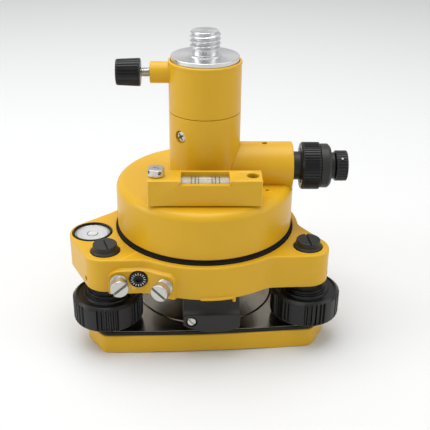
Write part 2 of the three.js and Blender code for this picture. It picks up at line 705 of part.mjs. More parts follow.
function addPlummet() {
  const wedge = new THREE.Shape();
  wedge.setFromPoints([[-6, 6], [6, -6], [6, 6]].map(([x, z]) => new THREE.Vector2(x, z)));
  const prism = slab(wedge, -6, 6).rotateX(Math.PI / 2).translate(0, 0, TUBE_HEIGHT);
  const objective = turned([[0, 73.4], [6, 74], [8.7, 74.6], [8.7, 76.4], [6, 77], [0, 77.6]]);
  const focusLens = turned([[0, 25], [6, 24.4], [9.1, 24.4], [9.1, 30.4], [6, 30.4], [0, 29.8]]);
  const barrel = lathe([
    [4.6, 41],
    [9.2, 41],
    [9.2, TUBE_END - 0.8],
    [7.7, TUBE_END - 0.8],
    [7.7, 52],
    [9.4, 52.3],
    [9.4, 62.4],
    [12.1, 62.7],
    [12.1, 67],
    [10.8, 68.4],
    [7.3, 68.4],
    [7.3, 70.8],
    [5.6, 70.8],
    [5.6, 74],
    [4.6, 74],
  ], MEDIUM);
  const grip = slab(knobOutline(12.9, 0.5, 18, 2, 0.96), 52.4, 62.4);
  const diopter = slab(knobOutline(8.3, 0.35, 12, 2, 0.96), 71.1, 77.8);
  const eyeBore = turned([[0, 70], [5.9, 70], [5.9, 74.4], [4.4, 74.4], [4.4, 79], [0, 79]]);
  const eyeLens = turned([[0, 74.9], [4.1, 75.5], [4.1, 76.5], [0, 77.1]], 16);
  add(carrier, 'plummet_prism', prism, glass());
  add(carrier, 'objective_lens', objective, glass());
  add(carrier, 'focus_lens_cell', onTube(focusLens), blackMetal());
  add(carrier, 'reticle', onTube(rod(9.1, 38, 39.2)), glass());
  add(carrier, 'eyepiece_barrel', onTube(barrel), blackPlastic());
  add(carrier, 'focus_ring', onTube(cut(grip, rod(9.7, 50, 66))), blackPlastic());
  add(carrier, 'eyepiece_ring', onTube(cut(diopter, eyeBore)), blackPlastic());
  add(carrier, 'eye_lens', onTube(eyeLens), glass());
}

addBase();
for (const [side, place] of Object.entries(SCREW_PLACES)) addFootScrew(side, place);
addHead();
addLever();
addFootPlate();
addColumn();
addLevel();
addPlummet();

export default model;
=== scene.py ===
"""Optical-plummet carrier on a levelling base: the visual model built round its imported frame."""

import math

import bmesh
import bpy
import numpy as np
from mathutils import Matrix, Vector


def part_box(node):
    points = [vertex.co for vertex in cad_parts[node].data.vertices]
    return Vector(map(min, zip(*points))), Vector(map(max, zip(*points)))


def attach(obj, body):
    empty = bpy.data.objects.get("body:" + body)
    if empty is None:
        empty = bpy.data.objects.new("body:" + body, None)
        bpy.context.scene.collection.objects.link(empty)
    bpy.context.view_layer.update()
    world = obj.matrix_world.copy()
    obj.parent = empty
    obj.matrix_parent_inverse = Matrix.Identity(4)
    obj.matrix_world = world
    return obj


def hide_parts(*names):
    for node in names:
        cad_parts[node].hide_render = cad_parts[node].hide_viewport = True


bl_info = {
    "name": "Plummet carrier and levelling base",
    "version": (1, 0, 0),
    "blender": (4, 5, 0),
    "location": "View3D > Sidebar > Levelling base",
    "description": "Builds a surveying carrier with optical plummet on a three-screw levelling base",
    "category": "Object",
}

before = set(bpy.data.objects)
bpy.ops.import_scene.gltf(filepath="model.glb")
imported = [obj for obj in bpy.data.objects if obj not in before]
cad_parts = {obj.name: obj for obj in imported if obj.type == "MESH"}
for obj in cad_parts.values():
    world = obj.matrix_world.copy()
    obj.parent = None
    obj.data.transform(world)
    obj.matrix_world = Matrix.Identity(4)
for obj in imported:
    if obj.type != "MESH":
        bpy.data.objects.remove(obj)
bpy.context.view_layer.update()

MM = 0.001
BASE_TURN = math.radians(2.45)
SIDES = ("left", "right", "rear")


# ------------------------------------------------------------------ places from the frame


def middle(node):
    """Middle of a node's box, in millimetres."""
    low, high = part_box(node)
    return (low + high) / 2 / MM


def lowest(node):
    """Lowest corner of a node's box, in millimetres."""
    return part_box(node)[0] / MM


def highest(node):
    """Highest corner of a node's box, in millimetres."""
    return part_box(node)[1] / MM


def shift(x=0.0, y=0.0, z=0.0):
    """Moves a piece by millimetres."""
    return Matrix.Translation(Vector((x, y, z)) * MM)


def spin(degrees):
    """Turns a piece about Z."""
    return Matrix.Rotation(math.radians(degrees), 4, "Z")


def outward(degrees):
    """Lays a piece that stands on Z down, to point outwards at an angle about Z."""
    return spin(degrees) @ Matrix.Rotation(math.pi / 2, 4, "Y")


ON_BASE = Matrix.Rotation(BASE_TURN, 4, "Z")
PLATE_TURN = Matrix.Rotation(BASE_TURN + math.radians(0.6), 4, "Z")
PLATE_SHIFT = np.array((-0.4, -0.4))
TUBE_HEIGHT = middle("focus_ring").z
CLAMP_HEIGHT = middle("clamp_knob").z
ON_TUBE = shift(z=TUBE_HEIGHT) @ outward(0)
ON_CLAMP = shift(z=CLAMP_HEIGHT) @ outward(180)


# ------------------------------------------------------------------ node tree helpers


def feed(tree, socket, value):
    """Links a socket, or sets its default."""
    if isinstance(value, bpy.types.NodeSocket):
        tree.links.new(value, socket)
    else:
        socket.default_value = value


def place(tree, kind, inputs=(), **settings):
    """Adds a node, sets its properties and feeds its inputs by name or number."""
    made = tree.nodes.new(kind)
    for name, value in settings.items():
        setattr(made, name, value)
    for key, value in dict(inputs).items():
        feed(tree, made.inputs[key], value)
    return made


def calc(tree, operation, *terms):
    """A Math node's result."""
    made = place(tree, "ShaderNodeMath", operation=operation)
    for socket, term in zip(made.inputs, terms):
        feed(tree, socket, term)
    return made.outputs[0]


def new_group(name, kind, inputs, outputs):
    """A node group with its sockets, and its two end nodes."""
    tree = bpy.data.node_groups.new(name, kind)
    for socket, (sort, default) in inputs.items():
        made = tree.interface.new_socket(name=socket, in_out="INPUT", socket_type=sort)
        if default is not None:
            made.default_value = default
    for socket, sort in outputs.items():
        tree.interface.new_socket(name=socket, in_out="OUTPUT", socket_type=sort)
    return tree, tree.nodes.new("NodeGroupInput"), tree.nodes.new("NodeGroupOutput")


# ------------------------------------------------------------------ geometry node trees


def turned_tree():
    """A body of revolution from a profile, with grooves in groups and a screw thread."""
    tree, given, result = new_group(
        "turned_piece",
        "GeometryNodeTree",
        {
            "Profile": ("NodeSocketGeometry", None),
            "Segments": ("NodeSocketInt", 96),
            "Groups": ("NodeSocketInt", 1),
            "Ribs": ("NodeSocketInt", 24),
            "Rib Share": ("NodeSocketFloat", 1.0),
            "Groove Width": ("NodeSocketFloat", 0.3),
            "Groove Depth": ("NodeSocketFloat", 0.0),
            "Thread Pitch": ("NodeSocketFloat", 0.002309),
            "Thread Depth": ("NodeSocketFloat", 0.0),
            "Material": ("NodeSocketMaterial", None),
        },
        {"Piece": "NodeSocketGeometry"},
    )
    profile = given.outputs["Profile"]
    segments = given.outputs["Segments"]
    size = place(tree, "GeometryNodeAttributeDomainSize", {0: profile})
    rows = size.outputs["Point Count"]
    grid = place(
        tree,
        "GeometryNodeMeshGrid",
        {"Vertices X": calc(tree, "ADD", segments, 1.0), "Vertices Y": rows},
    )
    index = place(tree, "GeometryNodeInputIndex").outputs[0]
    column = calc(tree, "FLOOR", calc(tree, "DIVIDE", calc(tree, "ADD", index, 0.5), rows))
    row = calc(tree, "SUBTRACT", index, calc(tree, "MULTIPLY", column, rows))

    def sampled(sort, value):
        made = place(tree, "GeometryNodeSampleIndex", data_type=sort, domain="POINT")
        feed(tree, made.inputs[0], profile)
        feed(tree, made.inputs["Value"], value)
        feed(tree, made.inputs["Index"], calc(tree, "ROUND", row))
        return made.outputs[0]

    def named(name):
        return place(
            tree, "GeometryNodeInputNamedAttribute", {"Name": name}, data_type="FLOAT"
        ).outputs[0]

    spot = sampled("FLOAT_VECTOR", place(tree, "GeometryNodeInputPosition").outputs[0])
    parts = place(tree, "ShaderNodeSeparateXYZ", {0: spot})
    height = parts.outputs["Z"]
    turn = calc(tree, "DIVIDE", column, segments)
    in_group = calc(tree, "FRACT", calc(tree, "MULTIPLY", turn, given.outputs["Groups"]))
    share = calc(tree, "DIVIDE", calc(tree, "SUBTRACT", in_group, 0.5), given.outputs["Rib Share"])
    ribs = given.outputs["Ribs"]
    along = calc(tree, "MULTIPLY", calc(tree, "ADD", share, 0.5), ribs)
    off = calc(tree, "ABSOLUTE", calc(tree, "SUBTRACT", along, calc(tree, "ROUND", along)))
    width = given.outputs["Groove Width"]
    groove = place(
        tree,
        "ShaderNodeMapRange",
        {"Value": off, "From Min": width, "From Max": calc(tree, "MULTIPLY", width, 0.45)},
        interpolation_type="SMOOTHSTEP",
    ).outputs[0]
    after_first = calc(tree, "GREATER_THAN", along, -0.5)
    before_last = calc(tree, "LESS_THAN", along, calc(tree, "ADD", ribs, 0.5))
    grooved = calc(tree, "MULTIPLY", groove, calc(tree, "MULTIPLY", after_first, before_last))
    depth = calc(tree, "MULTIPLY", given.outputs["Groove Depth"], sampled("FLOAT", named("groove")))
    inset = calc(tree, "MULTIPLY", grooved, depth)
    phase = calc(
        tree,
        "FRACT",
        calc(tree, "SUBTRACT", calc(tree, "DIVIDE", height, given.outputs["Thread Pitch"]), turn),
    )
    flank = calc(tree, "ABSOLUTE", calc(tree, "SUBTRACT", phase, 0.5))
    valley = place(
        tree, "ShaderNodeMapRange", {"Value": flank, "From Min": 0.06, "From Max": 0.44}
    ).outputs[0]
    thread = calc(
        tree, "MULTIPLY", given.outputs["Thread Depth"], sampled("FLOAT", named("thread"))
    )
    inset = calc(tree, "ADD", inset, calc(tree, "MULTIPLY", valley, thread))
    radius = calc(tree, "MAXIMUM", calc(tree, "SUBTRACT", parts.outputs["X"], inset), 0.0)
    angle = calc(tree, "MULTIPLY", turn, math.tau)
    spot = place(
        tree,
        "ShaderNodeCombineXYZ",
        {
            "X": calc(tree, "MULTIPLY", radius, calc(tree, "COSINE", angle)),
            "Y": calc(tree, "MULTIPLY", radius, calc(tree, "SINE", angle)),
            "Z": height,
        },
    ).outputs[0]
    moved = place(tree, "GeometryNodeSetPosition", {0: grid.outputs["Mesh"], "Position": spot})
    merged = place(tree, "GeometryNodeMergeByDistance", {0: moved.outputs[0], "Distance": 1e-6})
    finish_tree(tree, given, result, merged.outputs[0])
    return tree


def ring_tree():
    """Equal rings on a straight line: graduation lines round a glass vial."""
    tree, given, result = new_group(
        "graduation_rings",
        "GeometryNodeTree",
        {
            "Places": ("NodeSocketGeometry", None),
            "Radius": ("NodeSocketFloat", 0.005),
            "Thickness": ("NodeSocketFloat", 0.0001),
            "Material": ("NodeSocketMaterial", None),
        },
        {"Piece": "NodeSocketGeometry"},
    )
    wire = place(
        tree, "GeometryNodeCurvePrimitiveCircle", {"Resolution": 48, "Radius": given.outputs["Radius"]}
    )
    section = place(
        tree,
        "GeometryNodeCurvePrimitiveCircle",
        {"Resolution": 8, "Radius": given.outputs["Thickness"]},
    )
    ring = place(
        tree, "GeometryNodeCurveToMesh", {0: wire.outputs["Curve"], 1: section.outputs["Curve"]}
    )
    upright = place(tree, "FunctionNodeInputVector")
    upright.vector = (0, math.pi / 2, 0)
    rings = place(
        tree,
        "GeometryNodeInstanceOnPoints",
        {"Points": given.outputs["Places"], "Instance": ring.outputs[0], "Rotation": upright.outputs[0]},
    )
    finish_tree(tree, given, result, rings.outputs[0])
    return tree


def spoke_tree():
    """Equal bars set round a circle, each pointing outwards: the teeth of a socket screw."""
    tree, given, result = new_group(
        "radial_bars",
        "GeometryNodeTree",
        {
            "Carrier": ("NodeSocketGeometry", None),
            "Count": ("NodeSocketInt", 16),
            "Radius": ("NodeSocketFloat", 0.003),
            "Size": ("NodeSocketVector", (0.0015, 0.0005, 0.0003)),
            "Height": ("NodeSocketFloat", 0.0),
            "Material": ("NodeSocketMaterial", None),
        },
        {"Piece": "NodeSocketGeometry"},
    )
    wheel = place(
        tree,
        "GeometryNodeMeshCircle",
        {"Vertices": given.outputs["Count"], "Radius": given.outputs["Radius"]},
    )
    lift = place(tree, "ShaderNodeCombineXYZ", {"Z": given.outputs["Height"]})
    raised = place(
        tree, "GeometryNodeSetPosition", {0: wheel.outputs[0], "Offset": lift.outputs[0]}
    )
    bar = place(tree, "GeometryNodeMeshCube", {"Size": given.outputs["Size"]})
    index = place(tree, "GeometryNodeInputIndex").outputs[0]
    turn = calc(tree, "MULTIPLY", calc(tree, "DIVIDE", index, given.outputs["Count"]), math.tau)
    rotation = place(tree, "ShaderNodeCombineXYZ", {"Z": turn})
    bars = place(
        tree,
        "GeometryNodeInstanceOnPoints",
        {"Points": raised.outputs[0], "Instance": bar.outputs[0], "Rotation": rotation.outputs[0]},
    )
    finish_tree(tree, given, result, bars.outputs[0])
    return tree


def finish_tree(tree, given, result, geometry):
    """Ends a tree in Realize Instances and Set Material."""
    smooth = place(tree, "GeometryNodeSetShadeSmooth", {0: geometry})
    real = place(tree, "GeometryNodeRealizeInstances", {0: smooth.outputs[0]})
    painted = place(
        tree,
        "GeometryNodeSetMaterial",
        {0: real.outputs[0], "Material": given.outputs["Material"]},
    )
    tree.links.new(painted.outputs[0], result.inputs["Piece"])


def settle(piece):
    """Turns a piece's live modifiers into plain mesh."""
    bpy.context.view_layer.update()
    evaluated = piece.evaluated_get(bpy.context.evaluated_depsgraph_get())
    mesh = bpy.data.meshes.new_from_object(evaluated)
    piece.modifiers.clear()
    piece.data = mesh
    return piece


def grow(piece, tree, **values):
    """Runs a geometry node tree on a piece, with inputs given by socket name."""
    modifier = piece.modifiers.new(tree.name, "NODES")
    modifier.node_group = tree
    for item in tree.interface.items_tree:
        if item.item_type == "SOCKET" and item.in_out == "INPUT" and item.name in values:
            modifier[item.identifier] = values[item.name]
    settle(piece)
    face_outwards(piece)
    return piece


# ------------------------------------------------------------------ mesh helpers


def new_piece(name, points, faces=(), edges=()):
    """An object at the origin from points in millimetres."""
    mesh = bpy.data.meshes.new(name)
    mesh.from_pydata([Vector(p) * MM for p in points], list(edges), list(faces))
    piece = bpy.data.objects.new(name, mesh)
    bpy.context.scene.collection.objects.link(piece)
    return piece


def face_outwards(piece):
    """Merges doubles and turns the faces of a closed body outwards."""
    work = bmesh.new()
    work.from_mesh(piece.data)
    bmesh.ops.remove_doubles(work, verts=work.verts, dist=1e-7)
    bmesh.ops.dissolve_degenerate(work, edges=work.edges, dist=1e-8)
    bmesh.ops.recalc_face_normals(work, faces=work.faces)
    work.to_mesh(piece.data)
    work.free()


def round_corners(points, radius, closed, steps=4):
    """A profile with its corners rounded. A point may carry its own radius as a third number."""
    out = []
    last = len(points) - 1
    for i, (r, z, *own) in enumerate(points):
        here = np.array((r, z), float)
        wanted = own[0] if own else radius
        if wanted == 0 or (not closed and i in (0, last)):
            out.append(here)
            continue
        back = np.array(points[i - 1][:2], float) - here
        ahead = np.array(points[(i + 1) % len(points)][:2], float) - here
        back_length, ahead_length = np.linalg.norm(back), np.linalg.norm(ahead)
        back, ahead = back / back_length, ahead / ahead_length
        half = math.acos(max(-1.0, min(1.0, float(back @ ahead)))) / 2
        if half > 1.5:
            out.append(here)
            continue
        room = 0.42 * min(back_length, ahead_length)
        reach = min(wanted / math.tan(half), room)
        arc = reach * math.tan(half)
        centre = here + (back + ahead) / np.linalg.norm(back + ahead) * arc / math.sin(half)
        start, end = here + back * reach - centre, here + ahead * reach - centre
        sweep = math.pi - 2 * half
        out.append(here + back * min(reach * 1.3, reach + 0.1 * back_length))
        for k in range(steps + 1):
            share = k / steps
            near = math.sin((1 - share) * sweep) * start + math.sin(share * sweep) * end
            out.append(centre + near / math.sin(sweep))
        out.append(here + ahead * min(reach * 1.3, reach + 0.1 * ahead_length))
    return out


def refine(points, low, high, step):
    """Adds points to the upright stretches of a profile between two heights."""
    out = [points[0]]
    for point in points[1:]:
        before = out[-1]
        tall = abs(point[1] - before[1])
        inside = min(point[1], before[1]) < high and max(point[1], before[1]) > low
        count = max(1, math.ceil(tall / step)) if inside else 1
        for k in range(1, count + 1):
            out.append(before + (point - before) * k / count)
    return out


def band(value, low, high, ramp):
    """1 between two values and 0 outside, with soft ends inside them."""
    rise = max(0.0, min(1.0, (value - low) / ramp))
    fall = max(0.0, min(1.0, (high - value) / ramp))
    rise, fall = rise * rise * (3 - 2 * rise), fall * fall * (3 - 2 * fall)
    return rise * fall


def turned(name, points, rounding=0.3, segments=96, closed=False, grooves=None, thread=None):
    """A turned piece from (radius, height) points in millimetres.

    grooves: low, high, groups, ribs, share, width, depth. thread: low, high, pitch, depth.
    """
    profile = round_corners(points, rounding, closed)
    if closed:
        profile.append(profile[0])
    if grooves:
        profile = refine(profile, grooves["low"] - 0.5, grooves["high"] + 0.5, 0.45)
    if thread:
        profile = refine(profile, thread["low"], thread["high"], 0.14)
    widest = max(p[0] for p in profile)
    count = len(profile)
    piece = new_piece(
        name, [(p[0], 0, p[1]) for p in profile], edges=[(i, i + 1) for i in range(count - 1)]
    )
    values = {"Segments": segments}
    marks = {"groove": [0.0] * count, "thread": [0.0] * count}
    if grooves:
        low, high = grooves["low"], grooves["high"]
        marks["groove"] = [
            band(p[1], low, high, 0.6) if p[0] > 0.8 * widest else 0.0 for p in profile
        ]
        values["Groups"] = grooves["groups"]
        values["Ribs"] = grooves["ribs"]
        values["Rib Share"] = grooves["share"]
        values["Groove Width"] = grooves["width"]
        values["Groove Depth"] = grooves["depth"] * MM
    if thread:
        low, high = thread["low"], thread["high"]
        marks["thread"] = [
            band(p[1], low, high, 0.9) if p[0] > thread["inside"] else 0.0 for p in profile
        ]
        values["Thread Pitch"] = thread["pitch"] * MM
        values["Thread Depth"] = thread["depth"] * MM
    for mark, numbers in marks.items():
        attribute = piece.data.attributes.new(mark, "FLOAT", "POINT")
        attribute.data.foreach_set("value", numbers)
    return grow(piece, TREES["turned"], **values)


def rod(name, radius, low, high, flare=0.0, segments=64):
    """A plain round cutter, with a flared upper mouth that leaves a small bevel."""
    points = [(0, low), (radius, low)]
    if flare:
        lip = high - 2.0
        points += [(radius, lip - flare), (radius + flare, lip), (radius + flare, high)]
    else:
        points.append((radius, high))
    points.append((0, high))
    return turned(name, points, rounding=0, segments=segments)


def beveled_box(name, low, high, width, steps=3):
    """A box with rounded edges between two corners in millimetres."""
    low, high = Vector(low), Vector(high)
    work = bmesh.new()
    bmesh.ops.create_cube(work, size=1.0)
    for vertex in work.verts:
        spot = Vector([low[k] + (vertex.co[k] + 0.5) * (high[k] - low[k]) for k in range(3)])
        vertex.co = spot * MM
    if width:
        bmesh.ops.bevel(
            work, geom=work.edges[:], offset=width * MM, segments=steps, profile=0.5, affect="EDGES"
        )
    mesh = bpy.data.meshes.new(name)
    work.to_mesh(mesh)
    work.free()
    piece = bpy.data.objects.new(name, mesh)
    bpy.context.scene.collection.objects.link(piece)
    return piece


def moved(piece, matrix):
    """Moves a piece's mesh, and leaves its object at the origin."""
    piece.data.transform(matrix)
    if matrix.determinant() < 0:
        piece.data.flip_normals()
    return piece


def shape(piece, others, operation="DIFFERENCE"):
    """Cuts other bodies from a piece or joins them to it, and removes them."""
    for other in others:
        modifier = piece.modifiers.new("shape", "BOOLEAN")
        modifier.operation = operation
        modifier.object = other
        modifier.solver = "MANIFOLD"
    settle(piece)
    for other in others:
        bpy.data.objects.remove(other)
    return piece


def swept(name, rows, closed):
    """A body from rows of points round Z. A closed body's last row joins its first."""
    count = len(rows[0])
    points = np.concatenate(rows)
    faces = []
    for r in range(len(rows) if closed else len(rows) - 1):
        here, there = r * count, ((r + 1) % len(rows)) * count
        for k in range(count):
            ahead = (k + 1) % count
            faces.append((here + k, here + ahead, there + ahead, there + k))
    if not closed:
        faces.append(tuple(range(count)))
        faces.append(tuple(range((len(rows) - 1) * count, len(rows) * count)))
    piece = new_piece(name, points, faces)
    face_outwards(piece)
    return piece


def rounded_plate(name, outline, low, high, below=0.5, above=0.5, steps=4):
    """A plate from a convex outline, its lower and upper edges rounded."""
    outline = np.array(outline, float)
    ahead = np.roll(outline, -1, axis=0) - np.roll(outline, 1, axis=0)
    normal = np.stack([ahead[:, 1], -ahead[:, 0]], 1)
    normal /= np.linalg.norm(normal, axis=1)[:, None]
    rows = []
    for inset, height in edge_steps(low, high, below, above, steps):
        flat = outline - normal * inset
        rows.append(np.column_stack([flat, np.full(len(flat), height)]))
    return swept(name, rows, closed=False)


def edge_steps(low, high, below, above, steps=4):
    """(inset, height) pairs up a wall whose lower and upper edges are quarter rounds."""
    out = [(below * 1.4, low)]
    for k in range(steps + 1):
        a = math.pi / 2 * k / steps
        out.append((below * (1 - math.sin(a)), low + below * (1 - math.cos(a))))
    out.append((0, low + below * 1.4))
    out.append((0, high - above * 1.4))
    for k in range(steps + 1):
        a = math.pi / 2 * k / steps
        out.append((above * (1 - math.cos(a)), high - above * (1 - math.sin(a))))
    out.append((above * 1.4, high))
    return out


def finish(piece, name, body, slot, material, *nodes, sharp=32):
    """Names, shades and paints a piece, and fastens it to its body."""
    piece.name = name
    mesh = piece.data
    mesh.name = name
    mesh.materials.clear()
    mesh.materials.append(material)
    mesh.polygons.foreach_set("material_index", [0] * len(mesh.polygons))
    for attribute in ("groove", "thread"):
        if attribute in mesh.attributes:
            mesh.attributes.remove(mesh.attributes[attribute])
    mesh.shade_smooth()
    mesh.set_sharp_from_angle(angle=math.radians(sharp))
    weights = piece.modifiers.new("normals", "WEIGHTED_NORMAL")
    weights.keep_sharp = True
    settle(piece)
    piece.data.name = name
    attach(piece, body)
    if nodes:
        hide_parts(*nodes)
    return piece


def paint_node(node, material):
    """Gives a CAD node that stays in view its finish."""
    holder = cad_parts[node]
    holder.data.materials.clear()
    holder.data.materials.append(material)


# ------------------------------------------------------------------ shader groups


def grain_group():
    """Fine bumps of cast enamel or moulded plastic, and the tone they add."""
    tree, given, result = new_group(
        "surface_grain",
        "ShaderNodeTree",
        {
            "Scale": ("NodeSocketFloat", 1000.0),
            "Height": ("NodeSocketFloat", 0.00002),
            "Strength": ("NodeSocketFloat", 0.3),
        },
        {"Normal": "NodeSocketVector", "Tone": "NodeSocketFloat"},
    )
    where = place(tree, "ShaderNodeTexCoord").outputs["Object"]
    fine = place(
        tree,
        "ShaderNodeTexNoise",
        {"Vector": where, "Scale": given.outputs["Scale"], "Detail": 2.0, "Roughness": 0.5},
    )
    broad = place(tree, "ShaderNodeTexNoise", {"Vector": where, "Scale": 55.0, "Detail": 3.0})
    bump = place(
        tree,
        "ShaderNodeBump",
        {
            "Strength": given.outputs["Strength"],
            "Distance": given.outputs["Height"],
            "Height": fine.outputs["Fac"],
        },
    )
    tree.links.new(bump.outputs[0], result.inputs["Normal"])
    tree.links.new(broad.outputs["Fac"], result.inputs["Tone"])
    return tree


def shade_group():
    """A colour that drifts between a darker and a lighter tone."""
    tree, given, result = new_group(
        "colour_drift",
        "ShaderNodeTree",
        {
            "Colour": ("NodeSocketColor", (0.5, 0.5, 0.5, 1)),
            "Tone": ("NodeSocketFloat", 0.5),
            "Spread": ("NodeSocketFloat", 0.1),
        },
        {"Colour": "NodeSocketColor"},
    )
    centred = calc(tree, "SUBTRACT", given.outputs["Tone"], 0.5)
    factor = calc(tree, "ADD", calc(tree, "MULTIPLY", centred, given.outputs["Spread"]), 1.0)
    scaled = place(
        tree,
        "ShaderNodeVectorMath",
        {0: given.outputs["Colour"], "Scale": factor},
        operation="SCALE",
    )
    tree.links.new(scaled.outputs[0], result.inputs["Colour"])
    return tree


def edge_highlight_group():
    """A mask of the raised edges, where a painted highlight lightens a finish."""
    tree, given, result = new_group(
        "painted_edge_highlight",
        "ShaderNodeTree",
        {
            "Start": ("NodeSocketFloat", 0.53),
            "End": ("NodeSocketFloat", 0.6),
            "Break-up": ("NodeSocketFloat", 300.0),
        },
        {"Mask": "NodeSocketFloat"},
    )
    where = place(tree, "ShaderNodeTexCoord").outputs["Object"]
    noise = place(
        tree, "ShaderNodeTexNoise", {"Vector": where, "Scale": given.outputs["Break-up"], "Detail": 4.0}
    )
    point = place(tree, "ShaderNodeNewGeometry").outputs["Pointiness"]
    uneven = calc(tree, "MULTIPLY", calc(tree, "SUBTRACT", noise.outputs["Fac"], 0.5), 0.08)
    mask = place(
        tree,
        "ShaderNodeMapRange",
        {
            "Value": calc(tree, "ADD", point, uneven),
            "From Min": given.outputs["Start"],
            "From Max": given.outputs["End"],
        },
        interpolation_type="SMOOTHSTEP",
    )
    tree.links.new(mask.outputs[0], result.inputs["Mask"])
    return tree


def lathe_group():
    """Fine rings left by a turning tool, about an axis through a given centre."""
    tree, given, result = new_group(
        "turning_marks",
        "ShaderNodeTree",
        {
            "Centre": ("NodeSocketVector", (0, 0, 0)),
            "Turn": ("NodeSocketVector", (0, 0, 0)),
            "Rings": ("NodeSocketFloat", 9000.0),
            "Height": ("NodeSocketFloat", 0.000004),
        },
        {"Normal": "NodeSocketVector", "Marks": "NodeSocketFloat"},
    )
    where = place(tree, "ShaderNodeTexCoord").outputs["Object"]
    local = place(
        tree, "ShaderNodeVectorMath", {0: where, 1: given.outputs["Centre"]}, operation="SUBTRACT"
    )
    laid = place(
        tree,
        "ShaderNodeVectorRotate",
        {"Vector": local.outputs[0], "Rotation": given.outputs["Turn"]},
        rotation_type="EULER_XYZ",
    )
    parts = place(tree, "ShaderNodeSeparateXYZ", {0: laid.outputs[0]})
    x, y, z = parts.outputs
    across = calc(
        tree, "SQRT", calc(tree, "ADD", calc(tree, "MULTIPLY", x, x), calc(tree, "MULTIPLY", y, y))
    )
    line = calc(tree, "ADD", across, z)
    rings = place(
        tree,
        "ShaderNodeTexNoise",
        {"W": calc(tree, "MULTIPLY", line, given.outputs["Rings"]), "Scale": 1.0, "Detail": 2.0},
        noise_dimensions="1D",
    )
    bump = place(
        tree,
        "ShaderNodeBump",
        {"Strength": 0.4, "Distance": given.outputs["Height"], "Height": rings.outputs["Fac"]},
    )
    tree.links.new(bump.outputs[0], result.inputs["Normal"])
    tree.links.new(rings.outputs["Fac"], result.inputs["Marks"])
    return tree


TREES = {}


def build_trees():
    """Builds every shared node tree once."""
    TREES["turned"] = turned_tree()
    TREES["rings"] = ring_tree()
    TREES["spokes"] = spoke_tree()
    TREES["grain"] = grain_group()
    TREES["drift"] = shade_group()
    TREES["edge_light"] = edge_highlight_group()
    TREES["lathe"] = lathe_group()


# ------------------------------------------------------------------ materials


def new_material(name, **inputs):
    """A material with one Principled shader and its uniform inputs."""
    material = bpy.data.materials.new(name)
    material.use_nodes = True
    shader = material.node_tree.nodes["Principled BSDF"]
    for key, value in inputs.items():
        shader.inputs[key.replace("_", " ")].default_value = value
    return material, material.node_tree, shader


def use(tree, group, **inputs):
    """Places a shared shader group with its own values."""
    made = tree.nodes.new("ShaderNodeGroup")
    made.node_tree = TREES[group]
    for key, value in inputs.items():
        feed(tree, made.inputs[key.replace("_", " ")], value)
    return made


def spread(tree, value, low, high):
    """Maps a 0 to 1 value to a range."""
    return place(
        tree, "ShaderNodeMapRange", {"Value": value, "To Min": low, "To Max": high}
    ).outputs[0]


def enamel(colour):
    """Baked enamel: smooth, slightly uneven, with a painted highlight that lightens its raised edges."""
    material, tree, shader = new_material(
        "yellow_enamel", Coat_Weight=0.16, Coat_Roughness=0.2, Specular_IOR_Level=0.26
    )
    grain = use(tree, "grain", Scale=850.0, Height=0.00002, Strength=0.22)
    drift = use(tree, "drift", Colour=(*colour, 1), Tone=grain.outputs["Tone"], Spread=0.1)
    # Painted highlight: the raised edges are mixed towards a lighter yellow.
    edge_light = use(tree, "edge_light", Start=0.56, End=0.66)
    lighter = [min(1.0, c * 1.2 + 0.03) for c in colour]
    mixed = place(tree, "ShaderNodeMix", data_type="RGBA")
    feed(tree, mixed.inputs["Factor"], edge_light.outputs["Mask"])
    feed(tree, mixed.inputs[6], drift.outputs["Colour"])
    feed(tree, mixed.inputs[7], (*lighter, 1))
    tree.links.new(mixed.outputs[2], shader.inputs["Base Color"])
    tree.links.new(spread(tree, grain.outputs["Tone"], 0.3, 0.42), shader.inputs["Roughness"])
    tree.links.new(grain.outputs["Normal"], shader.inputs["Normal"])
    return material


def moulding(name, colour, low=0.4, high=0.52, scale=2200.0, strength=0.3, shine=0.36):
    """Moulded or anodised black: fine grain, with a painted highlight that makes the raised edges a little
    paler.
    """
    material, tree, shader = new_material(name, Specular_IOR_Level=shine)
    grain = use(tree, "grain", Scale=scale, Height=0.00002, Strength=strength)
    drift = use(tree, "drift", Colour=(*colour, 1), Tone=grain.outputs["Tone"], Spread=0.5)
    # Painted highlight: the raised edges are mixed towards a paler colour.
    edge_light = use(tree, "edge_light", Start=0.55, End=0.68)
    mixed = place(tree, "ShaderNodeMix", data_type="RGBA")
    feed(tree, mixed.inputs["Factor"], calc(tree, "MULTIPLY", edge_light.outputs["Mask"], 0.6))
    feed(tree, mixed.inputs[6], drift.outputs["Colour"])
    feed(tree, mixed.inputs[7], (*[min(1.0, c * 2.2 + 0.01) for c in colour], 1))
    tree.links.new(mixed.outputs[2], shader.inputs["Base Color"])
    tree.links.new(spread(tree, grain.outputs["Tone"], low, high), shader.inputs["Roughness"])
    tree.links.new(grain.outputs["Normal"], shader.inputs["Normal"])
    return material


def turned_metal(name, colour, centre, turn=(0, 0, 0), low=0.16, high=0.34, rings=9000.0, drawn=0.0):
    """Bright metal with fine rings about its own axis. Drawn metal draws highlights out round Z."""
    material, tree, shader = new_material(name, Metallic=1.0, Anisotropic=drawn)
    marks = use(tree, "lathe", Centre=Vector(centre) * MM, Turn=turn, Rings=rings)
    grain = use(tree, "grain", Scale=400.0)
    drift = use(tree, "drift", Colour=(*colour, 1), Tone=grain.outputs["Tone"], Spread=0.16)
    tree.links.new(drift.outputs["Colour"], shader.inputs["Base Color"])
    tree.links.new(spread(tree, marks.outputs["Marks"], low, high), shader.inputs["Roughness"])
    tree.links.new(marks.outputs["Normal"], shader.inputs["Normal"])
    if drawn:
        where = place(tree, "ShaderNodeTexCoord").outputs["Object"]
        around = place(
            tree, "ShaderNodeVectorMath", {0: where, 1: (0, 0, 1)}, operation="CROSS_PRODUCT"
        )
        unit = place(tree, "ShaderNodeVectorMath", {0: around.outputs[0]}, operation="NORMALIZE")
        tree.links.new(unit.outputs[0], shader.inputs["Tangent"])
    return material


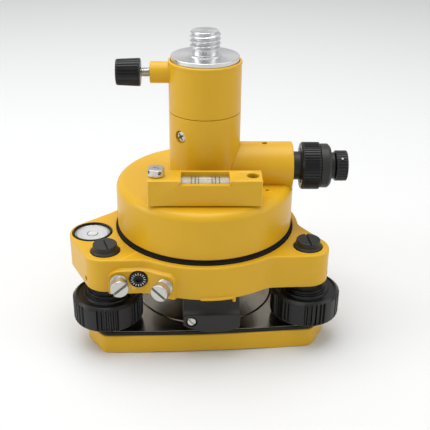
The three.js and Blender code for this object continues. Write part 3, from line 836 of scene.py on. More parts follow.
def glass(name, colour, roughness=0.02):
    """Clear optical glass."""
    material, tree, shader = new_material(
        name, Roughness=roughness, IOR=1.46, Transmission_Weight=1.0
    )
    grain = use(tree, "grain", Scale=300.0)
    drift = use(tree, "drift", Colour=(*colour, 1), Tone=grain.outputs["Tone"], Spread=0.04)
    tree.links.new(drift.outputs["Colour"], shader.inputs["Base Color"])
    return material


def thin_glass(name, colour, alpha, roughness=0.04):
    """Thin clear cover: seen through, with the shine of its surface."""
    material, tree, shader = new_material(name, Roughness=roughness, IOR=1.5, Alpha=alpha)
    grain = use(tree, "grain", Scale=300.0)
    drift = use(tree, "drift", Colour=(*colour, 1), Tone=grain.outputs["Tone"], Spread=0.04)
    tree.links.new(drift.outputs["Colour"], shader.inputs["Base Color"])
    return material


MATERIALS = {}


def build_materials(colours):
    """Makes the finishes that several pieces share."""
    steel, bright = tuple(colours.steel), tuple(colours.aluminium)
    MATERIALS["enamel"] = enamel(tuple(colours.enamel))
    MATERIALS["knob"] = moulding("black_knob", tuple(colours.plastic), 0.24, 0.36, shine=0.38)
    MATERIALS["lever"] = moulding("black_lever", (0.016, 0.0155, 0.015), 0.4, 0.52, 1500.0, 0.35)
    MATERIALS["cap"] = moulding("black_cap", (0.02, 0.02, 0.019), 0.36, 0.46, 2600.0, 0.25)
    MATERIALS["anodised"] = moulding("black_anodised", (0.005, 0.005, 0.005), 0.45, 0.6, 3200.0, 0.15)
    MATERIALS["rubber"] = moulding("gasket_rubber", (0.01, 0.01, 0.01), 0.65, 0.8, 1800.0, 0.4)
    MATERIALS["enamel_white"] = moulding("white_enamel", (0.51, 0.53, 0.56), 0.25, 0.35, 1200.0, 0.1)
    MATERIALS["steel"] = turned_metal("bright_steel", steel, (0, 0, 0))
    MATERIALS["plate"] = turned_metal(
        "spring_steel", (0.4, 0.375, 0.34), (0, 0, 0), low=0.12, high=0.26, drawn=0.8
    )
    MATERIALS["aluminium"] = turned_metal(
        "turned_aluminium", bright, (0, 0, 0), low=0.22, high=0.36, rings=5200.0, drawn=0.6
    )
    MATERIALS["brass"] = turned_metal("machined_brass", (0.56, 0.39, 0.15), (0, 0, 0))
    MATERIALS["capstan"] = turned_metal(
        "capstan_steel", tuple(colours.steel), middle("capstan_screw"), low=0.22, high=0.4
    )
    MATERIALS["glass"] = glass("clear_glass", (0.96, 0.98, 0.97))
    MATERIALS["cover"] = thin_glass("cover_glass", (0.95, 0.97, 0.98), 0.1)
    MATERIALS["bubble"] = thin_glass("bubble_glass", (0.98, 1.0, 0.99), 0.35, 0.08)
    MATERIALS["vial"] = moulding("vial_backing", (0.4, 0.34, 0.2), 0.2, 0.3, 900.0, 0.05)
    MATERIALS["matt"] = moulding("matt_black", (0.004, 0.004, 0.004), 0.75, 0.9, 2000.0, 0.2)
    MATERIALS["pad_teeth"] = turned_metal(
        "teeth_steel", steel, middle("pad_socket_screw"), (0, -math.pi / 2, 0), 0.3, 0.46
    )
    MATERIALS["line"] = moulding("graduation_black", (0.01, 0.01, 0.012), 0.4, 0.5)


# ------------------------------------------------------------------ outlines of the levelling base


def circle(x, y, radius, degrees=np.arange(0, 360, 3.75)):
    """Points round a circle, at angles in degrees."""
    a = np.radians(degrees)
    return np.stack([x + radius * np.cos(a), y + radius * np.sin(a)], 1)


def hull(points):
    """Convex outline of points, anticlockwise."""
    points = sorted(map(tuple, points))

    def chain(sequence):
        out = []
        for p in sequence:
            while len(out) > 1:
                (ax, ay), (bx, by) = out[-2], out[-1]
                if (bx - ax) * (p[1] - ay) - (by - ay) * (p[0] - ax) > 0:
                    break
                out.pop()
            out.append(p)
        return out[:-1]

    return np.array(chain(points) + chain(points[::-1]))


def reach(outline, angles):
    """How far an outline goes from the centre at each angle, or 0 where it isn't met."""
    far = np.zeros(len(angles))
    ray = np.stack([np.cos(angles), np.sin(angles)], 1)
    for start, end in zip(outline, np.roll(outline, -1, axis=0)):
        edge = end - start
        cross = ray[:, 0] * edge[1] - ray[:, 1] * edge[0]
        cross[np.abs(cross) < 1e-12] = 1e-12
        distance = (start[0] * edge[1] - start[1] * edge[0]) / cross
        along = (start[0] * ray[:, 1] - start[1] * ray[:, 0]) / cross
        met = (along >= -1e-9) & (along <= 1 + 1e-9) & (distance > far)
        far[met] = distance[met]
    return far


def soft_max(first, second, softness):
    """The larger of two, with the crossing rounded off."""
    top = np.maximum(first, second)
    rest = np.exp((first - top) / softness) + np.exp((second - top) / softness)
    return top + softness * np.log(rest)


def smooth_step(value):
    """Eases from 0 to 1."""
    value = np.clip(value, 0, 1)
    return value * value * (3 - 2 * value)


SCREW_CIRCLE = Vector(middle("screw_cap_rear")[:2]).length
SCREW_ANGLES = {"left": 210, "right": 330, "rear": 90}
HOUSING_LOW, HOUSING_HIGH = lowest("housing").z, highest("housing").z
HOUSING_RADIUS = 53.0
BOSS_RADIUS = 11.4
PAD_PROUD = 2.2
PAD_TOP = 51.7
HOUSING_POINTS = 1080
BASE_SIDE, BASE_CORNER, BASE_BOW = 46.2, 71.6, 1.6
GASKET_INSET, SPRING_INSET = 0.5, 1.3
FOOT_CIRCLE = 39
PLATE_FEET = {"front": 270, "right": 30, "left": 150}
LEVER_ROUND = 1.4
PAD_SCREWS = {
    "left": {"x": -46.9, "y": -45.4, "z": 45.4, "angle": 277.0, "reach": 8.5, "slot": 38.0},
    "right": {"x": -22.6, "y": -50.1, "z": 44.9, "angle": 244.8, "reach": 8.4, "slot": -35.0},
}
SOCKET_SCREW = {"x": -36.6, "y": -44.8, "z": 46.2, "angle": 270}
COLUMN_SCREWS = {"front": 226.5, "right": 47, "rear": 137}
COLUMN_SCREW_HEIGHT = middle("column_screw_front").z
COLUMN_RADIUS = 19.0
TUBE_END = 47.6


def at_screw(side):
    """Place of a foot screw in the levelling base's own frame."""
    return circle(0, 0, SCREW_CIRCLE, [SCREW_ANGLES[side]])[0]


def level_place():
    """Place of the circular level in the levelling base's own frame."""
    spot = ON_BASE.inverted() @ middle("level_bezel")
    return spot.x, spot.y


def housing_reach(angles):
    """Outline of the housing: a round middle, three bosses and the level's wing."""
    bosses = hull(np.concatenate([circle(*at_screw(side), BOSS_RADIUS) for side in SIDES]))
    wing = hull(
        np.concatenate(
            [
                circle(*at_screw("left"), BOSS_RADIUS),
                circle(*level_place(), 12.4),
                circle(-38, 20, 5.1),
            ]
        )
    )
    arms = np.maximum(reach(bosses, angles), reach(wing, angles))
    return soft_max(arms, np.full(len(angles), HOUSING_RADIUS), 0.9)


def bend(start, control, end, count, whole=False):
    """Points on a curve from start to end, pulled to a control point. Only a whole one has its end."""
    t = np.linspace(0, 1, count, endpoint=whole)[:, None]
    return (1 - t) ** 2 * np.array(start) + 2 * t * (1 - t) * np.array(control) + t**2 * np.array(end)


def base_outline(side, corner, rounding):
    """Outline of the base plate: bowed sides and cut, rounded corners."""
    end = side - BASE_BOW
    half = (end - corner / 2) / math.cos(math.radians(30))
    corners, out = [], []

    def step(point, distance, degrees):
        a = math.radians(degrees)
        return np.array([point[0] + distance * math.cos(a), point[1] + distance * math.sin(a)])

    for degrees in SCREW_ANGLES.values():
        tip = step((0, 0), corner, degrees)
        corners.append((degrees, step(tip, half, degrees - 90), step(tip, half, degrees + 90)))
    for i, (degrees, first, second) in enumerate(corners):
        following = corners[(i + 1) % 3]
        before, after = step(first, -rounding, degrees + 30), step(first, rounding, degrees + 90)
        out.append(bend(before, first, after, 12))
        before, after = step(second, -rounding, degrees + 90), step(second, rounding, degrees + 150)
        out.append(bend(before, second, after, 12))
        bowed = step((0, 0), end + 2 * BASE_BOW, degrees + 60)
        out.append(bend(after, bowed, step(following[1], -rounding, following[0] + 30), 40))
    return np.concatenate(out)


def plate_reach(inset, rounding, angles):
    """How far the base plate's outline goes at each angle, moved in by an inset."""
    outline = base_outline(BASE_SIDE - inset, BASE_CORNER - inset, rounding)
    return reach(outline + PLATE_SHIFT, angles)


def rows_at(angles, pairs):
    """Rows of points round Z from (radii, height) pairs."""
    rows = []
    for radii, height in pairs:
        radii = np.broadcast_to(radii, angles.shape)
        heights = np.broadcast_to(height, angles.shape)
        rows.append(np.stack([radii * np.cos(angles), radii * np.sin(angles), heights], 1))
    return rows


# ------------------------------------------------------------------ pieces


BASE_ANGLES = np.linspace(0, math.tau, 720, endpoint=False)


def base_layer(name, rows):
    """A layer of the base from rows round its outline, turned into place."""
    return moved(swept(name, rows_at(BASE_ANGLES, rows), closed=True), PLATE_TURN)


def screw_pockets(name, radius, low, high, flare=0.0):
    """Round cutters at the three foot screws."""
    places = [ON_BASE @ shift(*at_screw(side)) for side in SIDES]
    return [moved(rod(name, radius, low, high, flare=flare), place) for place in places]


def make_base_plate():
    """Cast base plate, hollowed between its corners and round the foot screws' ball ends."""
    top = highest("base_plate").z
    outer = plate_reach(0, 4, BASE_ANGLES)
    wall = [(outer - inset, z) for inset, z in edge_steps(0, top, 0.9, 0.7)]
    hole = [(14.3, top), (14.3, 0)]
    plate = base_layer("base", wall + hole)
    relief = circle(0, 0, 100, [30, 150, 270])
    cutter = swept("relief", [[(x, y, z) for x, y in relief] for z in (-1, 0.8)], closed=False)
    shape(plate, [moved(cutter, PLATE_TURN), *screw_pockets("pocket", 7.8, 1.8, 14, flare=0.3)])
    finish(plate, "base_casting", "base", "yellow_paint", MATERIALS["enamel"], "base_plate")


def make_gasket():
    """Rubber sheet under the spring plate, with a low lip round it."""
    low, high = lowest("base_gasket").z, highest("base_gasket").z
    inner = plate_reach(GASKET_INSET, 3.6, BASE_ANGLES)
    rim = highest("spring_plate").z - 0.25
    steel = plate_reach(SPRING_INSET, 3.2, BASE_ANGLES) + 0.12
    wall = [(inner - inset, z) for inset, z in edge_steps(low, rim, 0.15, 0.3, 3)]
    flat = [(steel, rim), (steel, high), (14.4, high), (14.4, low)]
    sheet = base_layer("gasket", wall + flat)
    finish(sheet, "gasket", "base", "rubber", MATERIALS["rubber"], "base_gasket")


def make_spring_plate():
    """Polished spring plate that holds the foot screws' ball ends down."""
    low, high = lowest("spring_plate").z, highest("spring_plate").z
    inner = plate_reach(SPRING_INSET, 3.2, BASE_ANGLES)
    wall = [(inner - inset, z) for inset, z in edge_steps(low, high, 0.15, 0.15, 3)]
    hole = [(39.8, high), (39.7, high - 0.03), (39.65, high - 0.1), (39.65, low)]
    spring = base_layer("spring", wall + hole)
    shape(spring, screw_pockets("pass", 4.4, 9, 16))
    finish(spring, "spring_sheet", "base", "polished_steel", MATERIALS["plate"], "spring_plate")


def make_tripod_bush():
    """Threaded bush for the tripod's screw, with its wide polished flange."""
    low, top = lowest("spring_plate").z, highest("tripod_bush").z
    bush = turned(
        "bush",
        [
            (7.94, 1.2, 0.4),
            (14, 1.2, 0.5),
            (14, low, 0.2),
            (38.4, low, 0.2),
            (38.4, top, 0.15),
            (7.94, top, 0.5),
        ],
        segments=160,
        closed=True,
        thread={"low": 1.0, "high": top + 0.2, "pitch": 2.309, "depth": -0.55, "inside": 0},
    )
    finish(bush, "tripod_thread_bush", "base", "polished_steel", MATERIALS["plate"], "tripod_bush")


def make_foot_screws(sizes):
    """Ribbed knobs with their stepped necks, threaded spindles and slotted caps."""
    slot_turn = {"left": -72, "right": -84, "rear": 20}
    knob_turn = {"left": 2, "right": 9, "rear": 25}
    for side in SIDES:
        here = ON_BASE @ shift(*at_screw(side))
        make_foot_knob(sizes, side, here @ spin(knob_turn[side]))
        make_spindle(side, here)
        make_screw_cap(side, here, slot_turn[side] - math.degrees(BASE_TURN))


def make_foot_knob(sizes, side, place):
    """Foot screw's knob: grooves in six groups, a sunk top and a stepped neck."""
    bottom = lowest("foot_knob_left").z
    knob = turned(
        "knob",
        [
            (4.3, bottom),
            (18.8, bottom, 1.1),
            (18.8, 29.5, 0.5),
            (17.1, 31.0, 0.35),
            (16.3, 31.0, 0.25),
            (15.9, 30.4, 0.25),
            (12.9, 30.4, 0.2),
            (12.5, 31.3, 0.35),
            (10.9, 31.3, 0.2),
            (10.6, 33.3, 0.4),
            (9.3, 33.3, 0.2),
            (9.0, 38.4, 0.5),
            (4.3, 38.4, 0.2),
        ],
        segments=540,
        closed=True,
        grooves={
            "low": bottom + 0.5,
            "high": 29.9,
            "groups": 6,
            "ribs": sizes.ribs,
            "share": 0.52,
            "width": 0.36,
            "depth": sizes.rib_depth / MM,
        },
    )
    body, node = f"foot_screw_{side}", f"foot_knob_{side}"
    moved(knob, place)
    finish(knob, f"knob_{side}", body, "black_plastic", MATERIALS["knob"], node, sharp=40)


def make_spindle(side, place):
    """Foot screw's threaded spindle with its ball end."""
    spindle = turned(
        "spindle",
        [
            (0, 3.2),
            (2.4, 3.7, 0.4),
            (4.4, 5.8, 1.2),
            (5.0, 8.1, 2.0),
            (4.4, 10.4, 1.2),
            (3.6, 11.6, 0.6),
            (3.6, 17, 0.3),
            (4.0, 17, 0.3),
            (4.0, 50.9, 0.6),
            (0, 50.9),
        ],
        segments=72,
        thread={"low": 36, "high": 50.5, "pitch": 0.75, "depth": 0.36, "inside": 3.8},
    )
    body, node = f"foot_screw_{side}", f"foot_spindle_{side}"
    moved(spindle, place)
    finish(spindle, f"spindle_{side}", body, "polished_steel", MATERIALS["steel"], node)


def make_screw_cap(side, place, slot_turn):
    """Slotted cap over a foot screw."""
    cap_top = highest("screw_cap_left").z
    cap = turned(
        "cap",
        [
            (0, 54.9),
            (7.55, 54.9, 0.2),
            (7.55, HOUSING_HIGH + 0.2, 0.3),
            (7.0, HOUSING_HIGH + 0.75, 0.2),
            (6.5, HOUSING_HIGH + 0.95, 0.3),
            (6.38, cap_top, 0.5),
            (0, cap_top),
        ],
        segments=96,
    )
    slot = beveled_box("slot", (-9, -0.5, cap_top - 1.1), (9, 0.5, cap_top + 2), 0.0)
    shape(cap, [moved(slot, spin(slot_turn))])
    node = f"screw_cap_{side}"
    finish(moved(cap, place), f"cap_{side}", "head", "black_plastic", MATERIALS["cap"], node)


def at_pad(screw):
    """Lays a piece on the pad where a screw stands, pointing outwards."""
    return ON_BASE @ shift(screw["x"], screw["y"], screw["z"]) @ outward(screw["angle"])


LEDGE_START, LEDGE_END = 264.6, 284.4
SEAT_FLOOR, RING_CEILING = 49.7, 45.2


def housing_rows():
    """The housing's outline with its pad and ledge, then its recess, as rows round Z."""
    angles = np.linspace(0, math.tau, HOUSING_POINTS, endpoint=False)
    degrees = np.degrees(angles)
    outer = housing_reach(angles)
    flat = (BOSS_RADIUS + SCREW_CIRCLE / 2 + PAD_PROUD) / np.maximum(1e-6, -np.sin(angles))
    flat[(degrees < 200) | (degrees > 340)] = 0
    padded = soft_max(np.where(flat < 80, flat, 0), np.full(len(angles), HOUSING_RADIUS + PAD_PROUD), 0.5)
    pad_middle, pad_half, pad_corner = 235.6, 15.0, 4.6
    along = np.abs(degrees - pad_middle) * math.radians(1) * HOUSING_RADIUS
    ledge = smooth_step((degrees - LEDGE_START) / 0.8) * smooth_step((LEDGE_END - degrees) / 0.8)

    def wall(height):
        side = along - pad_half + pad_corner
        above = np.full(len(angles), height - PAD_TOP - 0.2 + pad_corner)
        past = np.hypot(np.maximum(side, 0), np.maximum(above, 0))
        edge = np.minimum(np.maximum(side, above), 0) + past - pad_corner
        on_pad = smooth_step(-edge / 1.2)
        on_ledge = ledge * smooth_step((HOUSING_LOW + 1.5 - height) / 0.4)
        return outer + (padded - outer) * on_pad + 1.1 * on_ledge

    steps = edge_steps(HOUSING_LOW, HOUSING_HIGH, 0.6, 1.1)
    extra = list(np.arange(HOUSING_LOW + 1.0, HOUSING_LOW + 1.7, 0.1))
    extra += list(np.arange(PAD_TOP - 6.0, PAD_TOP - 1.5, 0.3))
    extra += list(np.arange(PAD_TOP - 1.5, PAD_TOP + 0.5, 0.12))
    split = next(i for i, (_, z) in enumerate(steps) if z > HOUSING_LOW + 2)
    pairs = [(wall(z) - inset, z) for inset, z in steps[:split]]
    pairs += [(wall(z), z) for z in extra]
    pairs += [(wall(z) - inset, z) for inset, z in steps[split:]]
    top = HOUSING_HIGH
    pairs += [(50.5, top), (50.2, top), (49.9, top - 0.1), (49.7, top - 0.35), (49.7, SEAT_FLOOR)]
    pairs += [(31.0, SEAT_FLOOR), (31.0, RING_CEILING), (45.9, RING_CEILING)]
    pairs += [(45.9, HOUSING_LOW + 0.4), (46.3, HOUSING_LOW)]
    return rows_at(angles, pairs)


def housing_cutters():
    """Bores, set screw holes, level well, feet holes, screw holes and the lever's slot."""
    top = HOUSING_HIGH
    cutters = []
    for side, grub in (("left", 203), ("right", 340), ("rear", 90)):
        x, y = at_screw(side)
        here = ON_BASE @ shift(x, y)
        cutters.append(moved(rod("bore", 7.9, 40, top + 2, flare=0.25, segments=96), here))
        cutters.append(moved(rod("mouth", 10, 30, 42, segments=96), here))
        hole = moved(rod("grub", 1.45, 6, 15, segments=40), here @ shift(z=42) @ outward(grub))
        cutters.append(hole)
    x, y = level_place()
    cutters.append(moved(rod("well", 11.0, 47.8, top + 2, flare=0.3, segments=128), ON_BASE @ shift(x, y)))
    for angle in PLATE_FEET.values():
        x, y = circle(0, 0, FOOT_CIRCLE, [angle])[0]
        cutters.append(moved(rod("foot_hole", 5, 44, 52, segments=48), ON_BASE @ shift(x, y)))
    for screw in PAD_SCREWS.values():
        cutters.append(moved(rod("thread_hole", 2.4, -5, 1, segments=40), at_pad(screw)))
    socket = at_pad(SOCKET_SCREW)
    cutters.append(moved(rod("socket_well", 4.8, -1.4, 2, flare=0.35), socket))
    cutters.append(moved(rod("socket_hole", 2.4, -4.2, 0, segments=40), socket))
    slot = arc_block("lever_slot", 44.0, 50.9, 260, 300, 30, RING_CEILING, count=41)
    cutters.append(moved(slot, ON_BASE))
    return cutters


def make_housing():
    """Cast housing, the lever's stop pin and the cover under the clamp ring."""
    body = moved(swept("housing", housing_rows(), closed=True), ON_BASE)
    for cutter in housing_cutters():
        shape(body, [cutter])
    finish(body, "head_casting", "head", "yellow_paint", MATERIALS["enamel"], "housing")

    pin = turned("pin", [(0, 34.6), (0.9, 34.6, 0.3), (0.9, 38.5), (0, 38.5)], segments=32)
    moved(pin, ON_BASE @ shift(*circle(0, 0, 51.9, [LEDGE_END + 0.2])[0]))
    finish(pin, "lever_stop_pin", "head", "yellow_paint", MATERIALS["enamel"])
    cover = turned(
        "cover",
        [(31.2, 37.45), (45.5, 37.45, 0.3), (45.5, 38.3), (31.2, 38.3)],
        segments=128,
        closed=True,
    )
    finish(cover, "clamp_cover", "head", "polished_steel", MATERIALS["steel"], "bottom_cover")


def make_pad_screws(sizes):
    """Two slotted screws on the front pad and the toothed socket screw between them."""
    for side, at in PAD_SCREWS.items():
        high = at["reach"]
        here = at_pad(at)
        axis = math.radians(at["angle"]) + BASE_TURN
        silver = turned_metal(
            f"pad_steel_{side}",
            tuple(sizes.bright),
            here.translation / MM,
            (0, -math.pi / 2, -axis),
            0.3,
            0.46,
            6000.0,
        )
        screw = turned(
            "screw",
            [
                (0, -4.2),
                (2.0, -4.2, 0.3),
                (2.0, 0.3, 0.2),
                (4.3, 0.3, 0.2),
                (4.3, 3.5, 0.15),
                (4.7, 4.0, 0.2),
                (4.7, high, 0.6),
                (0, high),
            ],
            segments=144,
            thread={"low": 0.4, "high": 3.6, "pitch": 0.8, "depth": 0.6, "inside": 4.0},
        )
        slot = beveled_box("slot", (-0.75, -7, high - 2.2), (0.75, 7, high + 2), 0.0)
        shape(screw, [moved(slot, spin(at["slot"]))])
        finish(
            moved(screw, here),
            f"slotted_screw_{side}",
            f"pad_screw_{side}",
            "polished_steel",
            silver,
            f"pad_screw_{side}",
        )
    here = at_pad(SOCKET_SCREW)
    socket = turned(
        "socket",
        [
            (0, -3.7),
            (2.0, -3.7, 0.3),
            (2.0, -1.1, 0.1),
            (4.5, -1.1, 0.2),
            (4.5, 1.0, 0.35),
            (4.05, 1.0, 0.1),
            (3.95, 0.6, 0.1),
            (2.4, 0.6, 0.1),
            (2.3, 0.8, 0.1),
            (0, 0.8),
        ],
        segments=144,
    )
    hexagon = turned("hexagon", [(0, -0.9), (1.75, -0.5), (1.75, 3), (0, 3)], rounding=0, segments=6)
    shape(socket, [hexagon])
    finish(
        moved(socket, here), "socket_screw", "head", "black_metal", MATERIALS["anodised"], "pad_socket_screw"
    )
    teeth = new_piece("teeth", [(0, 0, 0)])
    grow(
        teeth,
        TREES["spokes"],
        Count=16,
        Radius=3.3 * MM,
        Size=(1.15 * MM, 0.34 * MM, 0.5 * MM),
        Height=0.55 * MM,
        Material=MATERIALS["pad_teeth"],
    )
    finish(moved(teeth, here), "socket_teeth", "head", "polished_steel", MATERIALS["pad_teeth"])


def make_circular_level():
    """Black bezel, white cup, glass with its circle, and the bubble."""
    x, y = level_place()
    here = ON_BASE @ shift(x, y)
    low, high = lowest("level_bezel").z, highest("level_bezel").z
    bezel = turned(
        "bezel",
        [
            (8.75, low),
            (10.7, low, 0.2),
            (10.7, high, 0.3),
            (9.85, high, 0.2),
            (9.7, high - 1.3, 0.2),
            (8.75, high - 1.3, 0.2),
        ],
        segments=144,
        closed=True,
    )
    finish(moved(bezel, here), "vial_bezel", "head", "black_metal", MATERIALS["anodised"], "level_bezel")
    cup = turned(
        "cup",
        [(0, low), (8.5, low, 0.3), (8.5, 55.2, 0.2), (8.1, 55.2, 0.2), (7.9, 55.0, 0.2), (0, 55.0)],
        segments=96,
    )
    finish(
        moved(cup, here), "vial_cup", "head", "white_enamel", MATERIALS["enamel_white"], "level_cup"
    )
    seat = turned(
        "seat",
        [(8.6, low + 1), (9.65, low + 1, 0.1), (9.65, 55.5, 0.15), (8.6, 55.3, 0.1)],
        segments=96,
        closed=True,
    )
    finish(moved(seat, here), "vial_seat", "head", "polished_steel", MATERIALS["steel"])
    mark = turned(
        "mark",
        [(2.68, 55.02), (3.16, 55.02, 0.03), (3.16, 55.1, 0.03), (2.68, 55.1, 0.03)],
        segments=72,
        closed=True,
    )
    finish(moved(mark, here), "vial_circle", "head", "black_metal", MATERIALS["line"])
    lens = turned(
        "lens",
        [(0, 55.5), (8.6, 55.5, 0.1), (8.6, 55.8, 0.1), (5.5, 55.95, 2.0), (0, 56.0)],
        segments=96,
    )
    finish(moved(lens, here), "vial_glass", "head", "optical_glass", MATERIALS["cover"], "level_glass")
    bubble = turned("bubble", [(0, 55.15), (2.4, 55.2, 0.1), (2.4, 55.35, 0.1), (0, 55.4)], segments=48)
    moved(bubble, here @ shift(0.4, 0.3))
    finish(bubble, "vial_bubble", "head", "optical_glass", MATERIALS["bubble"])


LEVER_FRONT = -53.8
LEVER_LOCK = shift(-9.3, LEVER_FRONT, 24.5) @ outward(270)


def make_lever_block():
    """Locking lever: a shaped front, a top that rises to its arm and a well for the lock screw."""
    bends = (
        ((-13.6, 22.4), (-6.0, 17.2), (3.5, 17.5)),
        ((3.5, 17.5), (11.0, 17.5), (16.3, 20.2)),
    )
    lower_edge = np.concatenate([bend(*points, 16) for points in bends])
    face = [lower_edge]
    corners = np.array([(16.3, 20.2), (16.3, 28.2), (-13.6, 28.2), (-13.6, 22.4)])
    before = np.concatenate([lower_edge[-1:], corners[:-1]])
    after = np.concatenate([corners[1:], lower_edge[1:2]])
    for here, back, ahead in zip(corners, before - corners, after - corners):
        start = here + back / np.linalg.norm(back) * LEVER_ROUND
        end = here + ahead / np.linalg.norm(ahead) * LEVER_ROUND
        face.append(bend(start, here, end, 7, whole=True))
    outline = hull(np.concatenate(face))
    block = rounded_plate("block", outline, 36.0, -LEVER_FRONT, below=0.6, above=0.7, steps=5)
    moved(block, Matrix.Rotation(math.pi / 2, 4, "X"))
    face_outwards(block)
    arm = arc_block("arm", 46.3, 47.7, 262, 278, 27.2, 44.6)
    shape(block, [arm], "UNION")
    curve = bend((-53.2, 28.15), (-49.4, 28.9), (-48.0, 35.4), 11, whole=True)
    rise = [(-53.2, 27.0), *curve, (-46.4, 35.4), (-46.4, 27.0)]
    ramp = swept("ramp", [[(x, y, z) for y, z in rise] for x in (-13.3, 16.0)], closed=False)
    shape(block, [ramp], "UNION")
    shape(block, [moved(rod("well", 3.05, -1.9, 4.4), LEVER_LOCK)])
    shape(block, [moved(rod("hole", 1.4, -9, 2), LEVER_LOCK)])
    moved(block, ON_BASE)
    finish(block, "lever_block", "lever", "black_plastic", MATERIALS["lever"], "lock_lever")


def make_lever_lock(sizes):
    """Slotted screw that locks the lever."""
    here = ON_BASE @ LEVER_LOCK
    axis = math.radians(270) + BASE_TURN
    silver = turned_metal(
        "lock_steel", tuple(sizes.bright), here.translation / MM, (0, -math.pi / 2, -axis), 0.24, 0.4
    )
    screw = turned(
        "screw",
        [(0, -8.0), (1.1, -8.0, 0.2), (1.1, -1.6, 0.1), (2.3, -1.6, 0.15), (2.3, 0, 0.5), (0, 0.1)],
        segments=72,
    )
    slot = beveled_box("slot", (-0.45, -4, -0.9), (0.45, 4, 3), 0.0)
    shape(screw, [moved(slot, spin(-48))])
    moved(screw, here)
    finish(screw, "lever_lock", "lever_lock_screw", "polished_steel", silver, "lever_screw")


def make_clamp_ring():
    """Ring inside the housing that the lever turns, slotted for the carrier's three feet."""
    ring = turned(
        "ring",
        [(31.5, 38.6, 0.3), (45.5, 38.6, 0.3), (45.5, 44.9, 0.3), (31.5, 44.9, 0.3)],
        segments=160,
        closed=True,
    )
    slots = [arc_block("slot", 34.3, 43.7, a - 27.8, a + 7.8, 30, 50) for a in PLATE_FEET.values()]
    shape(moved(ring, ON_BASE), [moved(s, ON_BASE) for s in slots])
    finish(ring, "clamp_wheel", "lever", "polished_steel", MATERIALS["steel"], "clamp_ring")


def arc_block(name, inner, outer, start, end, low, high, count=33):
    """A piece of a ring between two angles in degrees."""
    degrees = np.linspace(start, end, count)
    ring = np.concatenate([circle(0, 0, inner, degrees[::-1]), circle(0, 0, outer, degrees)])
    return swept(name, [[(x, y, z) for x, y in ring] for z in (low, high)], closed=False)


def make_foot_plate():
    """Black foot plate of the carrier and its three feet; the pivot bush stays as the frame has it."""
    low, high = lowest("foot_plate").z, highest("foot_plate").z
    plate = turned(
        "plate",
        [
            (12.0, low, 0.3),
            (49.2, low, 0.4),
            (49.2, high - 1.7, 0.3),
            (48.0, high - 1.5, 0.2),
            (47.8, high - 0.3, 0.2),
            (12.0, high - 0.3, 0.3),
        ],
        segments=192,
        closed=True,
    )
    finish(plate, "carrier_foot_plate", "foot_plate", "black_metal", MATERIALS["matt"], "foot_plate")
    for side, angle in PLATE_FEET.items():
        foot = turned(
            "foot",
            [
                (0, 39.6),
                (3.7, 39.6, 0.3),
                (4.4, 40.4, 0.3),
                (4.4, 42.0, 0.2),
                (3.4, 42.6, 0.2),
                (3.4, 44.0, 0.2),
                (4.4, 44.6, 0.2),
                (4.4, 49.7, 0.1),
                (0, 49.7),
            ],
            segments=64,
        )
        x, y = circle(0, 0, FOOT_CIRCLE, [angle])[0]
        moved(foot, ON_BASE @ shift(x, y))
        node = f"plate_foot_{side}"
        finish(foot, f"stub_foot_{side}", "foot_plate", "polished_steel", MATERIALS["steel"], node)


def make_drum(sizes):
    """Drum of the carrier with the spigot for the column and the plummet tube."""
    low, top = lowest("drum").z - 0.3, 84.0
    drum = turned(
        "drum",
        [
            (12.1, low, 0.3),
            (22, low, 0.3),
            (22, 79, 1.0),
            (44.6, 79, 1.5),
            (44.6, low, 0.3),
            (48.6, low, 0.7),
            (48.6, 79.4, 0),
            *[(r, z, 0) for r, z in circle(44.0, 79.4, 4.6, np.linspace(7.5, 82.5, 11))],
            (44.0, top, 0),
            (43.0, top, 0),
            (16.1, top, 0.3),
            (16.1, 117.5, 0.6),
            (12.1, 117.5, 0.3),
        ],
        segments=256,
        closed=True,
    )
    plug = rod("plug", 13.0, 74, 117.2, segments=96)
    shape(drum, [plug], "UNION")
    tube = turned(
        "tube",
        [(0, 0), (13.2, 0), (13.2, TUBE_END - 1.5, 0), (13.2, TUBE_END, 0.9), (0, TUBE_END)],
        segments=160,
    )
    shape(drum, [moved(tube, ON_TUBE)], "UNION")
    blend_seam(drum, sizes.seam_round)
    bore = moved(rod("bore", 9.5, -9, TUBE_END + 2, segments=72), ON_TUBE)
    sight = rod("sight", 9.0, 60, TUBE_HEIGHT, segments=72)
    shape(drum, [bore])
    shape(drum, [sight])
    grub = moved(rod("grub", 1.5, 10, 15.3, flare=0.25, segments=48), shift(32.3, 0, TUBE_HEIGHT))
    shape(drum, [grub])
    mark = rod("mark", 1.1, 82.9, 86.15, flare=0.2, segments=48)
    shape(drum, [moved(mark, shift(33.1, -18, 0))])
    finish(drum, "carrier_drum", "carrier", "yellow_paint", MATERIALS["enamel"], "drum")


def blend_seam(piece, width):
    """Rounds the inside corner where the tube lies on the drum, as a casting has it."""
    work = bmesh.new()
    work.from_mesh(piece.data)
    work.normal_update()
    chosen = []
    for edge in work.edges:
        if len(edge.link_faces) != 2 or edge.is_convex:
            continue
        if edge.calc_face_angle(0) < math.radians(25):
            continue
        middle_point = sum((v.co for v in edge.verts), Vector()) / 2 / MM
        if middle_point.x > 20 and 76 < middle_point.z < 104:
            chosen.append(edge)
    bmesh.ops.bevel(
        work, geom=chosen, offset=width, segments=4, profile=0.5, affect="EDGES", clamp_overlap=True
    )
    work.to_mesh(piece.data)
    work.free()


COLUMN_SEAM = highest("lower_column").z + 0.15


